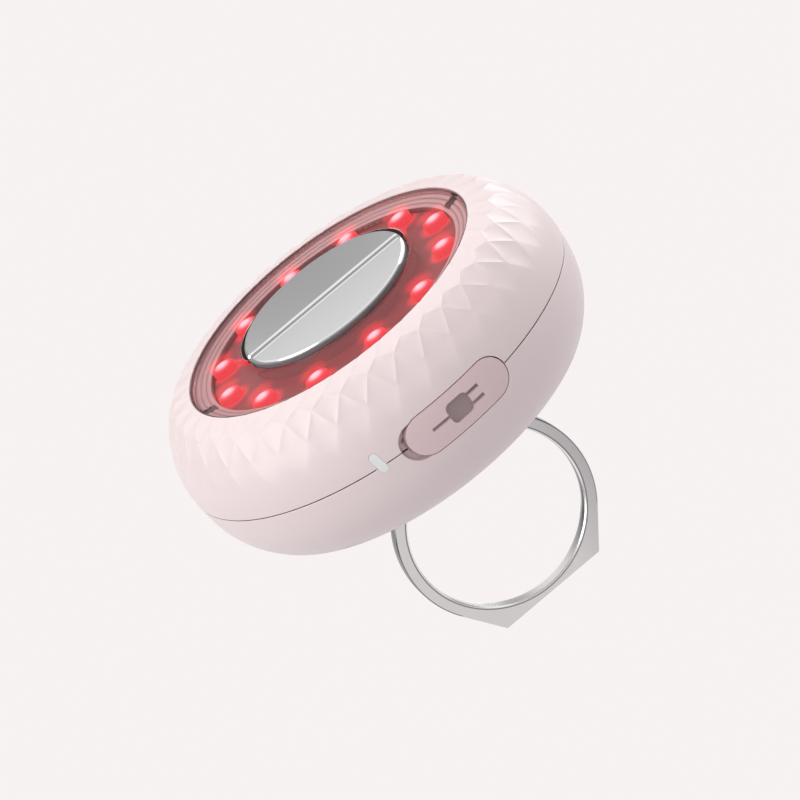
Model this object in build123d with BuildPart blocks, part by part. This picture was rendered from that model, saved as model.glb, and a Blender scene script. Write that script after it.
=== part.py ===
from build123d import *
import os
from math import acos, cos, degrees, radians, sin, sqrt

# Red light therapy wand, worn on a finger. Millimetres, +Z towards the treatment face.
# The origin is on the body's axis, in the parting plane of the two shells.

os.makedirs("parts", exist_ok=True)

# Body outline: tangent bends (radius, turn in degrees), from the widest circle outwards
body_radius = 27.0
equator_height = 0.9
upper_side_bend = (11.4, 46.0)
upper_edge_bend = (2.4, 30.0)
crown_radius = 14.0
lower_side_bend = (22.0, 9.5)
lower_belly_bend = (11.3, 35.5)
back_edge_bend = (5.3, 45.0)
wall = 1.5
crown_thickness = 1.85
parting_chamfer = 0.08

# Lap joint of the shells and its seal
lip_thickness = 0.65
lip_height = 0.6
seal_height = 0.5

# Clearances
slip = 0.1
seat_gap = 0.05
running_gap = 0.05
thread_gap = 0.02

# Lens, bezel and reflector
rim_width = 7.1
lens_opening_gap = 0.15
lens_thickness = 1.0
lens_dome_rise = 0.33
lens_dome_middle_rise = 0.21
lens_recess = 0.05
bezel_width = 2.4
bezel_flange_width = 1.7
bezel_flange_thickness = 1.0
bezel_seat_width = 0.25
bezel_ridges = 3
ridge_depth = 0.3
index_notch_width = 0.9
index_notch_turn = 2.7
reflector_thickness = 0.5

# Diodes
diode_count = 12
diode_inset = 1.6
diode_turn = 1.5
diode_base_radius = 1.55
diode_base_height = 0.7
diode_dome_radius = 1.45
diode_dome_height = 0.9

# Boards
diode_board_gap = 0.2
main_board_gap = 0.6
board_thickness = 1.0

# Electrodes and their carrier
electrode_margin = 4.3
electrode_thickness = 2.0
electrode_round = 0.65
electrode_gap = 0.36
gap_chamfer = 0.22
rib_thickness = 0.26
rib_drop = 0.35
electrode_stud_radius = 1.2
electrode_stud_inset = (5.6, 6.4)
lens_hole_gap = 0.15

# Screws: head radius, head height, shank radius, shank length
electrode_screw = (1.3, 0.7, 0.7, 3.2)
frame_screw = (1.5, 0.8, 0.8, 3.0)
board_screw = (1.4, 0.6, 0.7, 3.0)
case_screw = (1.75, 1.2, 1.0, 8.0)
swivel_screw = (1.9, 0.8, 1.0, 3.4)
recess_depth = 0.4
recess_width = 0.35

# Bosses on the upper shell and posts on the lower shell
boss_inset = 3.6
boss_radius = 1.9
case_screw_count = 4
case_screw_turn = 45.0
frame_screw_count = 3
post_radius = 2.6
case_head_seat = -4.0
head_well_gap = 0.15

# Inner frame
frame_gap = 0.6
frame_ring_width = 2.8
frame_web_width = 6.9
frame_web_thickness = 1.0
ear_thickness = 1.2
board_screw_inset = 1.5
board_screw_turn = 60.0

# Main board and what stands on it
socket_tab_margin = 1.5
spring_strip = 0.2
spring_width = 2.0
spring_length = 4.0
spring_contact_length = 1.6
chip_size = (5.0, 5.0, 0.9)
chip_inset = 13.4
chip_y = -5.0
charger_size = (3.0, 3.0, 0.8)
charger_x = 4.0
charger_inset = 10.4
coil_radius = 2.1
coil_height = 2.0
coil_inset = 10.4
coil_y = 5.0
capacitor_size = (2.0, 1.25, 1.2)
capacitor_start = (0.0, 4.0)
capacitor_pitch = 2.4
capacitor_count = 4
cable_thickness = 0.2
cable_width = 6.0
cable_room = 1.2
cable_foot = 2.2

# Battery
battery_end_room = 4.4
battery_side_gap = 0.88
battery_height = 4.4
battery_corner = 2.0
battery_underside = -5.9
foam_thickness = 0.5
foam_width = 2.6
rib_inset = 4.0
rib_end_inset = 2.0
cradle_rib_thickness = 1.2
plug_block = (4.0, 3.6, 1.6)
plug_block_inset = 1.4
plug_block_y = -6.0
lead_radius = 0.35
lead_pitch = 1.6
lead_reach = 2.4
lead_bend = 0.7

# Charging port, its cover and the finger scoop
port_turn = 4.55
cover_length = 14.5
cover_height = 5.2
cover_gap = 0.12
cover_thickness = 2.1
pocket_wall = 1.4
port_pad = (19.0, 8.0)
socket_width = 8.94
socket_height = 3.26
socket_wall = 0.25
socket_depth = 7.35
socket_cavity_depth = 6.2
tongue_size = (6.7, 0.7)
tongue_setback = 1.2
cover_plug = (7.8, 2.2, 0.8)
sign_depth = 0.55
sign_body = (3.2, 2.8)
sign_body_corner = 0.8
sign_prong = (1.6, 0.5)
sign_prong_pitch = 1.4
sign_cord = (2.4, 0.45)
strap_width = 2.0
strap_thickness = 0.55
strap_length = 1.3
strap_setback = 0.35
strap_barb = (2.2, 3.0, 0.7)
scoop_radius = 2.6
scoop_shift = 1.45
scoop_depth = 1.9

# Indicator
indicator_turn = -19.5
indicator_size = (2.84, 1.14)
indicator_height = 0.6
indicator_tilt = 9.0
indicator_flange = (4.4, 2.5, 0.6)
indicator_wall = 2.05
indicator_diode = (1.6, 0.8, 0.6)

# Power button, opposite the port
button_turn = 180.0 + port_turn
button_size = (9.0, 3.6)
button_gap = 0.12
button_proud = 0.5
button_pad = (14.0, 7.4)
button_wall = 2.5
button_flange = (10.6, 5.0, 0.7)
button_travel = 0.4
plunger_radius = 1.0
plunger_length = 1.4
switch_size = (6.0, 3.4, 3.0)
switch_nub_radius = 0.7
switch_nub_length = 0.7

# Swivel that carries the ring
shaft_radius = 2.4
bush_wall = 0.6
bush_flange_radius = 4.2
bush_flange_thickness = 0.5
wave_washer_height = 0.5
wave_washer_strip = 0.2
retaining_washer_radius = 4.0
retaining_washer_thickness = 0.5
swivel_plate_radius = 6.5
swivel_plate_thickness = 1.0
swivel_plate_chamfer = 0.25
swivel_plate_gap = 0.1

# Finger ring and its hinge
ring_bore_radius = 11.25
ring_band = 1.65
ring_width = 1.85
ring_top_drop = 3.35
ring_foot_thickness = 0.95
ring_corner_reach = 1.32
ring_edge = 0.15
pin_radius = 0.55
barrel_radius = 1.05
barrel_length = 5.0
eye_length = 2.0


def polar(radius, angle):
    """Point at an angle in degrees from the first axis."""
    return radius * cos(radians(angle)), radius * sin(radians(angle))


def arc_chain(start, angle, bends):
    """Tangent arcs from a start point, as three points each, with the outward normal's first angle."""
    arcs = []
    r, z = start
    for radius, turn in bends:
        ahead = polar(radius, angle)
        centre = (r - ahead[0], z - ahead[1])
        steps = [polar(radius, angle + share * turn) for share in (0, 0.5, 1)]
        arcs.append([(centre[0] + x, centre[1] + y) for x, y in steps])
        r, z = arcs[-1][-1]
        angle += turn
    return arcs


def crown_turn():
    """Turn of the crown's arc that ends at the lens opening."""
    angle = upper_side_bend[1] + upper_edge_bend[1]
    bends = [upper_side_bend, upper_edge_bend]
    r = arc_chain((body_radius, equator_height), 0, bends)[-1][-1][0]
    centre_r = r - polar(crown_radius, angle)[0]
    return degrees(acos((lens_opening_radius - centre_r) / crown_radius)) - angle


def body_arcs(inset):
    """Lower and upper arcs of the body's half section, moved inwards by the inset."""
    start = (body_radius - inset, equator_height)
    lower_bends = [lower_side_bend, lower_belly_bend, back_edge_bend]
    upper_bends = [upper_side_bend, upper_edge_bend, (crown_radius, crown_turn())]
    lower = arc_chain(start, 0, [(radius - inset, -turn) for radius, turn in lower_bends])
    upper = arc_chain(start, 0, [(radius - inset, turn) for radius, turn in upper_bends])
    return lower, upper


def draw_body(inset):
    """Half section of the body, closed along the axis."""
    lower, upper = body_arcs(inset)
    top = upper[-1][-1]
    bottom = lower[-1][-1]
    with BuildLine() as outline:
        for points in lower + upper:
            ThreePointArc(*points)
        Polyline(top, (0, top[1]), (0, bottom[1]), bottom)
    make_face(outline.edges())


def side_plane(turn, distance, height=0.0):
    """Plane that faces outwards, turned about Z from the -Y side, at a distance from the axis."""
    across, ahead = polar(1, turn)
    return Plane(
        origin=(ahead * distance, -across * distance, height),
        x_dir=(across, ahead, 0),
        z_dir=(ahead, -across, 0),
    )


def surface_radius(offset):
    """Distance of the rim's surface from the axis plane at a sideways offset."""
    return sqrt(body_radius**2 - offset**2)


def case_spots():
    return PolarLocations(boss_circle_radius, case_screw_count, start_angle=case_screw_turn)


def frame_spots():
    return PolarLocations(boss_circle_radius, frame_screw_count)


def board_spots():
    return PolarLocations(board_screw_circle_radius, frame_screw_count, start_angle=board_screw_turn)


def electrode_spots():
    return GridLocations(2 * electrode_stud_x, 2 * electrode_stud_y, 2, 2)


def discs(spots, plane_z, radius, height, mode=Mode.ADD):
    """Cylinders at the spots, standing on a level, or hanging from it with a negative height."""
    with BuildSketch(Plane.XY.offset(plane_z)) as faces:
        with spots():
            Circle(radius)
    extrude(faces.sketch, amount=height, mode=mode)


def upward_screws(spots, seat, size):
    """Screws driven upwards: heads hang below their seat, with a cross recess."""
    head_radius, head_height, shank_radius, shank_length = size
    discs(spots, seat, head_radius, -head_height)
    discs(spots, seat, shank_radius, shank_length)
    with BuildSketch(Plane.XY.offset(seat - head_height)) as cross:
        with spots():
            Rectangle(head_radius, recess_width)
            Rectangle(recess_width, head_radius)
    extrude(cross.sketch, amount=recess_depth, mode=Mode.SUBTRACT)


def centre_spot():
    return Locations((0, 0))


# Radii and reaches that follow from the sizes above
lens_radius = body_radius - rim_width
lens_opening_radius = lens_radius + lens_opening_gap
bezel_inner_radius = lens_radius - bezel_width
bezel_flange_radius = lens_radius + bezel_flange_width
diode_circle_radius = bezel_inner_radius - diode_inset
electrode_radius = diode_circle_radius - electrode_margin
electrode_stud_x = electrode_radius - electrode_stud_inset[0]
electrode_stud_y = electrode_radius - electrode_stud_inset[1]
lens_hole_radius = electrode_radius + lens_hole_gap
boss_circle_radius = body_radius - wall - boss_inset
boss_reach = boss_circle_radius - boss_radius
diode_board_radius = boss_reach - diode_board_gap
main_board_radius = boss_reach - main_board_gap
frame_outer_radius = boss_reach - frame_gap
frame_inner_radius = frame_outer_radius - frame_ring_width
frame_web_inner_radius = frame_outer_radius - frame_web_width
board_screw_circle_radius = main_board_radius - board_screw_inset
cable_x = cable_room - frame_inner_radius
case_post_offset = boss_circle_radius * cos(radians(case_screw_turn))
battery_length = 2 * (main_board_radius - battery_end_room)
battery_width = 2 * (case_post_offset - post_radius - battery_side_gap)
rib_y = battery_width / 2 - rib_inset
cradle_rib_length = battery_length - 2 * rib_end_inset
plug_block_place = (battery_length / 2 - plug_block_inset, plug_block_y)
chip_place = (chip_inset - main_board_radius, chip_y)
charger_place = (charger_x, charger_inset - main_board_radius)
coil_place = (coil_inset - main_board_radius, coil_y)
cover_inner_face = body_radius - cover_thickness
pocket_floor = cover_inner_face - slip
port_pad_face = pocket_floor - pocket_wall
socket_mouth = pocket_floor - slip
sign_floor = body_radius - sign_depth
indicator_flange_face = body_radius - indicator_wall
button_pad_face = body_radius - button_wall
lip_outer_radius = body_radius - wall + lip_thickness
ring_outer_radius = ring_bore_radius + ring_band

# Levels that follow from the sizes above
crown_level = body_arcs(0)[1][-1][-1][1]
back_level = body_arcs(0)[0][-1][-1][1]
floor_level = back_level + wall
crown_underside = crown_level - crown_thickness
lens_rim_level = crown_level - lens_recess
lens_underside = lens_rim_level - lens_thickness
diode_board_top = crown_underside - bezel_flange_thickness
diode_board_underside = diode_board_top - board_thickness
electrode_underside = lens_underside
main_board_underside = socket_height / 2 + seat_gap
main_board_top = main_board_underside + board_thickness
seal_top = lip_height + seal_height
hinge_level = back_level - ring_top_drop + barrel_radius + seat_gap
swivel_plate_top = back_level - swivel_plate_gap
swivel_plate_underside = swivel_plate_top - swivel_plate_thickness
ring_centre_level = hinge_level - barrel_radius - seat_gap - ring_bore_radius
bush_top = floor_level + bush_flange_thickness
wave_washer_top = bush_top + wave_washer_height
electrode_head_underside = diode_board_underside - electrode_screw[1]

# Whole body and its hollow, which the pieces below are cut from
with BuildPart() as whole_body:
    with BuildSketch(Plane.XZ):
        draw_body(0)
    revolve(axis=Axis.Z)

with BuildPart() as proud_body:
    with BuildSketch(Plane.XZ):
        draw_body(-button_proud)
    revolve(axis=Axis.Z)

with BuildPart() as whole_hollow:
    with BuildSketch(Plane.XZ):
        draw_body(wall)
        with Locations((0, crown_underside - body_radius)):
            Rectangle(2 * body_radius, 2 * body_radius, mode=Mode.INTERSECT)
    revolve(axis=Axis.Z)

# Thickened wall behind the port and behind the button
with BuildPart() as side_pads:
    with BuildSketch(side_plane(port_turn, port_pad_face)):
        Rectangle(*port_pad)
    extrude(amount=wall + body_radius - port_pad_face)
    with BuildSketch(side_plane(button_turn, button_pad_face)):
        Rectangle(*button_pad)
    extrude(amount=wall + body_radius - button_pad_face)
    add(whole_body.part, mode=Mode.INTERSECT)

with BuildPart() as upper_pads:
    add(side_pads.part)
    split(bisect_by=Plane.XY, keep=Keep.TOP)

with BuildPart() as lower_pads:
    add(side_pads.part)
    split(bisect_by=Plane.XY, keep=Keep.BOTTOM)

# Openings in the side: cover pocket, socket, strap hole, finger scoop, button and light pipe
scoop_x = -(cover_length / 2 - cover_height / 2) - scoop_shift
scoop_centre = surface_radius(scoop_x) + scoop_radius - scoop_depth
strap_x = cover_length / 2 - strap_setback - strap_length / 2
with BuildPart() as side_openings:
    with BuildSketch(side_plane(port_turn, pocket_floor)):
        SlotOverall(cover_length + 2 * cover_gap, cover_height + 2 * cover_gap)
    extrude(amount=body_radius - pocket_floor + wall)
    with BuildSketch(side_plane(port_turn, port_pad_face - wall)):
        SlotOverall(socket_width + 2 * slip, socket_height + 2 * slip)
        with Locations((strap_x, 0)):
            Rectangle(strap_length + slip, strap_width + slip)
    extrude(amount=pocket_floor - port_pad_face + 2 * wall)
    with Locations(side_plane(port_turn, scoop_centre) * Pos(scoop_x, 0, 0)):
        Sphere(scoop_radius)
    with BuildSketch(side_plane(button_turn, button_pad_face - wall)):
        SlotOverall(button_size[0] + 2 * button_gap, button_size[1] + 2 * button_gap)
    extrude(amount=body_radius - button_pad_face + 2 * wall)
    with BuildSketch(side_plane(indicator_turn, body_radius - 2 * wall, indicator_height)):
        SlotOverall(
            indicator_size[0] + seat_gap,
            indicator_size[1] + seat_gap,
            rotation=90 + indicator_tilt,
        )
    extrude(amount=3 * wall)

# Upper shell: faceted skin's smooth base, lens opening, bosses and half of the side pads
with BuildPart() as upper_bosses:
    discs(case_spots, 0, boss_radius, crown_level)
    discs(frame_spots, diode_board_underside, boss_radius, wall)
    discs(frame_spots, diode_board_underside, boss_radius, crown_level - diode_board_underside)
    add(whole_body.part, mode=Mode.INTERSECT)

with BuildPart() as upper_shell:
    add(whole_body.part)
    split(bisect_by=Plane.XY, keep=Keep.TOP)
    chamfer(upper_shell.edges().group_by(Axis.Z)[0], parting_chamfer)
    add(whole_hollow.part, mode=Mode.SUBTRACT)
    add(upper_bosses.part)
    add(upper_pads.part)
    with BuildSketch():
        Circle(lip_outer_radius + seat_gap)
        Circle(lip_outer_radius - lip_thickness - seat_gap, mode=Mode.SUBTRACT)
    extrude(amount=seal_top, mode=Mode.SUBTRACT)
    discs(centre_spot, crown_underside, lens_opening_radius, crown_thickness, Mode.SUBTRACT)
    discs(case_spots, 0, case_screw[2] + thread_gap, case_head_seat + case_screw[3] + slip, Mode.SUBTRACT)
    frame_hole_depth = frame_screw[3] - ear_thickness + slip
    discs(frame_spots, diode_board_underside, frame_screw[2] + thread_gap, frame_hole_depth, Mode.SUBTRACT)
    add(side_openings.part, mode=Mode.SUBTRACT)
upper_shell.part.label = "upper_shell"
export_step(upper_shell.part, "parts/upper_shell.step")

# Lower shell: lip, posts for the case screws, cradle ribs, hole for the swivel's bush
with BuildPart() as lower_inside:
    discs(case_spots, back_level, post_radius, -back_level)
    with BuildSketch(Plane.XY.offset(back_level)):
        with GridLocations(0, 2 * rib_y, 1, 2):
            Rectangle(cradle_rib_length, cradle_rib_thickness)
    extrude(amount=battery_underside - foam_thickness - back_level)
    add(whole_body.part, mode=Mode.INTERSECT)

with BuildPart() as lower_shell:
    add(whole_body.part)
    split(bisect_by=Plane.XY, keep=Keep.BOTTOM)
    chamfer(lower_shell.edges().group_by(Axis.Z)[-1], parting_chamfer)
    add(whole_hollow.part, mode=Mode.SUBTRACT)
    with BuildSketch():
        Circle(lip_outer_radius)
        Circle(lip_outer_radius - lip_thickness, mode=Mode.SUBTRACT)
    extrude(amount=lip_height)
    add(lower_inside.part)
    add(lower_pads.part)
    discs(case_spots, 0, case_screw[2] + slip, case_head_seat, Mode.SUBTRACT)
    discs(case_spots, case_head_seat, case_screw[0] + head_well_gap, back_level, Mode.SUBTRACT)
    discs(centre_spot, floor_level, shaft_radius + running_gap + bush_wall, -wall, Mode.SUBTRACT)
    add(side_openings.part, mode=Mode.SUBTRACT)
lower_shell.part.label = "lower_shell"
export_step(lower_shell.part, "parts/lower_shell.step")

# Seal: a flat ring on the lip, open where the port, button and light pipe pass
with BuildPart() as shell_seal:
    with BuildSketch(Plane.XY.offset(lip_height)):
        Circle(lip_outer_radius)
        Circle(lip_outer_radius - lip_thickness, mode=Mode.SUBTRACT)
    extrude(amount=seal_height)
    add(side_openings.part, mode=Mode.SUBTRACT)
shell_seal.part.label = "shell_seal"
export_step(shell_seal.part, "parts/shell_seal.step")

# Lens window: a domed washer that sits on the bezel's rim
with BuildPart() as lens_window:
    with BuildSketch(Plane.XZ):
        inner_top = (lens_hole_radius, lens_rim_level + lens_dome_rise)
        outer_top = (lens_radius - slip, lens_rim_level)
        middle_r = (lens_hole_radius + lens_radius) / 2
        middle_top = (middle_r, lens_rim_level + lens_dome_middle_rise)
        with BuildLine():
            ThreePointArc(inner_top, middle_top, outer_top)
            Polyline(
                outer_top,
                (lens_radius, lens_rim_level - slip),
                (lens_radius, lens_underside),
                (lens_hole_radius, lens_underside),
                inner_top,
            )
        make_face()
    revolve(axis=Axis.Z)
lens_window.part.label = "lens_window"
export_step(lens_window.part, "parts/lens_window.step")

# Bezel ring: a flange under the crown, then rounded ridges that step in under the lens
with BuildPart() as bezel_ring:
    bezel_outer_radius = lens_radius - seat_gap
    ridge_outer_radius = bezel_outer_radius - bezel_seat_width
    ridge_pitch = (ridge_outer_radius - bezel_inner_radius) / bezel_ridges
    valley_level = lens_underside - ridge_depth
    with BuildSketch(Plane.XZ):
        with BuildLine():
            for ridge in range(bezel_ridges):
                foot_r = bezel_inner_radius + ridge * ridge_pitch
                ThreePointArc(
                    (foot_r, valley_level),
                    (foot_r + ridge_pitch / 2, lens_underside - seat_gap),
                    (foot_r + ridge_pitch, valley_level),
                )
            Polyline(
                (ridge_outer_radius, valley_level),
                (ridge_outer_radius, lens_underside),
                (bezel_outer_radius, lens_underside),
                (bezel_outer_radius, crown_underside),
                (bezel_flange_radius, crown_underside),
                (bezel_flange_radius, diode_board_top),
                (bezel_inner_radius, diode_board_top),
                (bezel_inner_radius, valley_level),
            )
        make_face()
    revolve(axis=Axis.Z)
    bezel_notch_radius = boss_radius + head_well_gap
    discs(case_spots, diode_board_top, bezel_notch_radius, bezel_flange_thickness, Mode.SUBTRACT)
    discs(frame_spots, diode_board_top, bezel_notch_radius, bezel_flange_thickness, Mode.SUBTRACT)
    with BuildSketch(Plane.XY.offset(valley_level - ridge_depth / 2)):
        with PolarLocations((bezel_inner_radius + ridge_outer_radius) / 2, 2, start_angle=index_notch_turn):
            Rectangle(ridge_outer_radius - bezel_inner_radius + slip, index_notch_width)
    extrude(amount=2 * ridge_depth, mode=Mode.SUBTRACT)
bezel_ring.part.label = "bezel_ring"
export_step(bezel_ring.part, "parts/bezel_ring.step")


def diode_spots():
    return PolarLocations(diode_circle_radius, diode_count, start_angle=diode_turn)


# Reflector plate between the diodes
carrier_radius = electrode_radius + seat_gap
with BuildPart() as reflector_plate:
    with BuildSketch(Plane.XY.offset(diode_board_top)):
        Circle(bezel_inner_radius - slip)
        Circle(carrier_radius + slip, mode=Mode.SUBTRACT)
        with diode_spots():
            Circle(diode_base_radius + slip, mode=Mode.SUBTRACT)
    extrude(amount=reflector_thickness)
reflector_plate.part.label = "reflector_plate"
export_step(reflector_plate.part, "parts/reflector_plate.step")

# Red diodes: a round base and a domed lens each
dome_foot = diode_board_top + diode_base_height
dome_middle = dome_foot + diode_dome_height / 2
dome_top = dome_foot + diode_dome_height
dome_sphere = (diode_dome_radius**2 + diode_dome_height**2) / (2 * diode_dome_height)
shoulder = sqrt(dome_sphere**2 - (dome_sphere - diode_dome_height / 2) ** 2)
with BuildPart() as one_dome:
    with BuildSketch(Plane.XZ):
        with BuildLine():
            ThreePointArc((diode_dome_radius, dome_foot), (shoulder, dome_middle), (0, dome_top))
            Polyline((0, dome_top), (0, dome_foot), (diode_dome_radius, dome_foot))
        make_face()
    revolve(axis=Axis.Z)

with BuildPart() as red_diodes:
    discs(diode_spots, diode_board_top, diode_base_radius, diode_base_height)
    with diode_spots():
        add(one_dome.part)
red_diodes.part.label = "red_diodes"
export_step(red_diodes.part, "parts/red_diodes.step")

# Board of the diodes
with BuildPart() as diode_board:
    discs(centre_spot, diode_board_underside, diode_board_radius, board_thickness)
    discs(electrode_spots, diode_board_underside, electrode_screw[2] + slip, board_thickness, Mode.SUBTRACT)
diode_board.part.label = "diode_board"
export_step(diode_board.part, "parts/diode_board.step")

# Electrode carrier: an insulating hub with the rib that stands in the gap
with BuildPart() as electrode_carrier:
    discs(centre_spot, diode_board_top, carrier_radius, electrode_underside - diode_board_top)
    discs(
        electrode_spots,
        diode_board_top,
        electrode_stud_radius + seat_gap,
        electrode_underside - diode_board_top,
        Mode.SUBTRACT,
    )
    with BuildSketch(Plane.XY.offset(electrode_underside)):
        Rectangle(2 * (electrode_radius - electrode_round), rib_thickness)
    extrude(amount=electrode_thickness - rib_drop)
electrode_carrier.part.label = "electrode_carrier"
export_step(electrode_carrier.part, "parts/electrode_carrier.step")

# Electrodes: half-round polished plates with two studs each, front at -Y and rear at +Y
for side, electrode_name in ((-1, "front_electrode"), (1, "rear_electrode")):
    stud_y = side * electrode_stud_y
    stud_foot = diode_board_top + seat_gap

    def stud_spots():
        return Locations((-electrode_stud_x, stud_y), (electrode_stud_x, stud_y))

    with BuildPart() as electrode:
        with BuildSketch(Plane.XY.offset(electrode_underside)):
            Circle(electrode_radius)
            with Locations((0, side * (electrode_radius + electrode_gap / 2))):
                Rectangle(2 * electrode_radius, 2 * electrode_radius, mode=Mode.INTERSECT)
        extrude(amount=electrode_thickness)
        top_edges = electrode.edges().group_by(Axis.Z)[-1]
        fillet(top_edges.filter_by(GeomType.CIRCLE), electrode_round)
        gap_edges = electrode.edges().group_by(Axis.Z)[-1].filter_by(Axis.X)
        chamfer(gap_edges, gap_chamfer)
        discs(stud_spots, stud_foot, electrode_stud_radius, electrode_underside - stud_foot)
        hole_depth = electrode_screw[3] - board_thickness + slip
        discs(stud_spots, stud_foot, electrode_screw[2] + thread_gap, hole_depth, Mode.SUBTRACT)
    electrode.part.label = electrode_name
    export_step(electrode.part, f"parts/{electrode_name}.step")

with BuildPart() as electrode_screws:
    upward_screws(electrode_spots, diode_board_underside, electrode_screw)
electrode_screws.part.label = "electrode_screws"
export_step(electrode_screws.part, "parts/electrode_screws.step")

# Inner frame: a ring between the boards, a web under the diode board, ears under the bosses
with BuildPart() as inner_frame:
    with BuildSketch(Plane.XY.offset(main_board_top)):
        Circle(frame_outer_radius)
        Circle(frame_inner_radius, mode=Mode.SUBTRACT)
    extrude(amount=diode_board_underside - main_board_top)
    with BuildSketch(Plane.XY.offset(diode_board_underside)):
        Circle(frame_outer_radius - frame_ring_width / 2)
        Circle(frame_web_inner_radius, mode=Mode.SUBTRACT)
    extrude(amount=-frame_web_thickness)
    with BuildSketch(Plane.XY.offset(diode_board_underside)):
        ear_reach = boss_circle_radius - frame_outer_radius + frame_ring_width / 2
        with PolarLocations(boss_circle_radius - ear_reach / 2, frame_screw_count):
            Rectangle(ear_reach, 2 * boss_radius - slip)
        with frame_spots():
            Circle(boss_radius - slip)
    extrude(amount=-ear_thickness)
    discs(frame_spots, diode_board_underside, frame_screw[2] + slip, -ear_thickness, Mode.SUBTRACT)
    board_hole_depth = board_screw[3] - board_thickness + slip
    discs(board_spots, main_board_top, board_screw[2] + thread_gap, board_hole_depth, Mode.SUBTRACT)
    with BuildSketch(Plane.XY.offset(diode_board_underside)):
        with Locations((cable_x + cable_foot / 2, 0)):
            Rectangle(cable_foot + 4 * slip, cable_width + 4 * slip)
    extrude(amount=-frame_web_thickness, mode=Mode.SUBTRACT)
inner_frame.part.label = "inner_frame"
export_step(inner_frame.part, "parts/inner_frame.step")

with BuildPart() as frame_screws:
    upward_screws(frame_spots, diode_board_underside - ear_thickness, frame_screw)
frame_screws.part.label = "frame_screws"
export_step(frame_screws.part, "parts/frame_screws.step")

# Main board: a disc with a tab that carries the socket
port_tab_reach = port_pad_face - 2 * slip
with BuildPart() as main_board:
    with BuildSketch(Plane.XY.offset(main_board_underside)):
        Circle(main_board_radius)
        with Locations(Location((0, 0, 0), (0, 0, port_turn))):
            with Locations((0, -port_tab_reach / 2)):
                Rectangle(socket_width + 2 * socket_tab_margin, port_tab_reach)
    extrude(amount=board_thickness)
    discs(board_spots, main_board_underside, board_screw[2] + slip, board_thickness, Mode.SUBTRACT)
main_board.part.label = "main_board"
export_step(main_board.part, "parts/main_board.step")

with BuildPart() as board_screws:
    upward_screws(board_spots, main_board_underside, board_screw)
board_screws.part.label = "board_screws"
export_step(board_screws.part, "parts/board_screws.step")

# Contact springs: bent strips on the main board that press on an electrode screw each
with BuildPart() as contact_springs:
    spring_top = electrode_head_underside - seat_gap - spring_strip / 2
    spring_foot = main_board_top + spring_strip / 2
    for side in (-1, 1):
        strip_start = electrode_stud_x + spring_length / 2
        with BuildSketch(Plane.XZ.offset(-side * electrode_stud_y - spring_width / 2)):
            with BuildLine():
                Polyline(
                    (strip_start - spring_length / 2, spring_foot),
                    (strip_start, spring_foot),
                    (electrode_stud_x + spring_contact_length / 2, spring_top),
                    (electrode_stud_x - spring_contact_length / 2, spring_top),
                )
            trace(line_width=spring_strip)
        extrude(amount=spring_width)
contact_springs.part.label = "contact_springs"
export_step(contact_springs.part, "parts/contact_springs.step")

# Flat cable from the diode board down to the main board
with BuildPart() as flat_cable:
    cable_top = diode_board_underside - cable_thickness / 2
    cable_bottom = main_board_top + cable_thickness / 2
    cable_line_x = cable_x + cable_thickness / 2
    with BuildSketch(Plane.XZ.offset(-cable_width / 2)):
        with BuildLine():
            Polyline(
                (cable_x + cable_foot, cable_top),
                (cable_line_x, cable_top),
                (cable_line_x, cable_bottom),
                (cable_x + cable_foot, cable_bottom),
            )
        trace(line_width=cable_thickness)
    extrude(amount=cable_width)
flat_cable.part.label = "flat_cable"
export_step(flat_cable.part, "parts/flat_cable.step")


def hang_block(name, size, place):
    """Small block part soldered under the main board."""
    with BuildPart() as block:
        with BuildSketch(Plane.XY.offset(main_board_underside)):
            with Locations(place):
                Rectangle(size[0], size[1])
        extrude(amount=-size[2])
    block.part.label = name
    export_step(block.part, f"parts/{name}.step")


hang_block("control_chip", chip_size, chip_place)
hang_block("charging_chip", charger_size, charger_place)
hang_block("battery_socket", plug_block, plug_block_place)

with BuildPart() as boost_coil:
    with BuildSketch(Plane.XY.offset(main_board_underside)):
        with Locations(coil_place):
            Circle(coil_radius)
    extrude(amount=-coil_height)
boost_coil.part.label = "boost_coil"
export_step(boost_coil.part, "parts/boost_coil.step")

with BuildPart() as capacitors:
    with BuildSketch(Plane.XY.offset(main_board_underside)):
        for number in range(capacitor_count):
            with Locations((capacitor_start[0] + number * capacitor_pitch, capacitor_start[1])):
                Rectangle(capacitor_size[1], capacitor_size[0])
    extrude(amount=-capacitor_size[2])
capacitors.part.label = "capacitors"
export_step(capacitors.part, "parts/capacitors.step")

# Battery on its foam strips, and its two leads
with BuildPart() as battery:
    with BuildSketch(Plane.XY.offset(battery_underside)):
        RectangleRounded(battery_length, battery_width, battery_corner)
    extrude(amount=battery_height)
battery.part.label = "battery"
export_step(battery.part, "parts/battery.step")

with BuildPart() as battery_foam:
    with BuildSketch(Plane.XY.offset(battery_underside - foam_thickness)):
        with GridLocations(0, 2 * rib_y, 1, 2):
            Rectangle(cradle_rib_length, foam_width)
    extrude(amount=foam_thickness)
battery_foam.part.label = "battery_foam"
export_step(battery_foam.part, "parts/battery_foam.step")

with BuildPart() as battery_leads:
    lead_exit = battery_length / 2
    lead_low = battery_underside + battery_height - 2 * lead_radius
    lead_high = main_board_underside - plug_block[2] / 2
    lead_far = lead_exit + lead_reach
    for side in (-1, 1):
        lead_y = plug_block_place[1] + side * lead_pitch / 2
        with BuildLine(Plane.XZ.offset(-lead_y)) as lead_path:
            FilletPolyline(
                (lead_exit, lead_low),
                (lead_far, lead_low),
                (lead_far, lead_high),
                (plug_block_place[0] + plug_block[0] / 2, lead_high),
                radius=lead_bend,
            )
        with BuildSketch(Plane(origin=lead_path.line @ 0, z_dir=lead_path.line % 0)):
            Circle(lead_radius)
        sweep(path=lead_path.line)
battery_leads.part.label = "battery_leads"
export_step(battery_leads.part, "parts/battery_leads.step")

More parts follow.
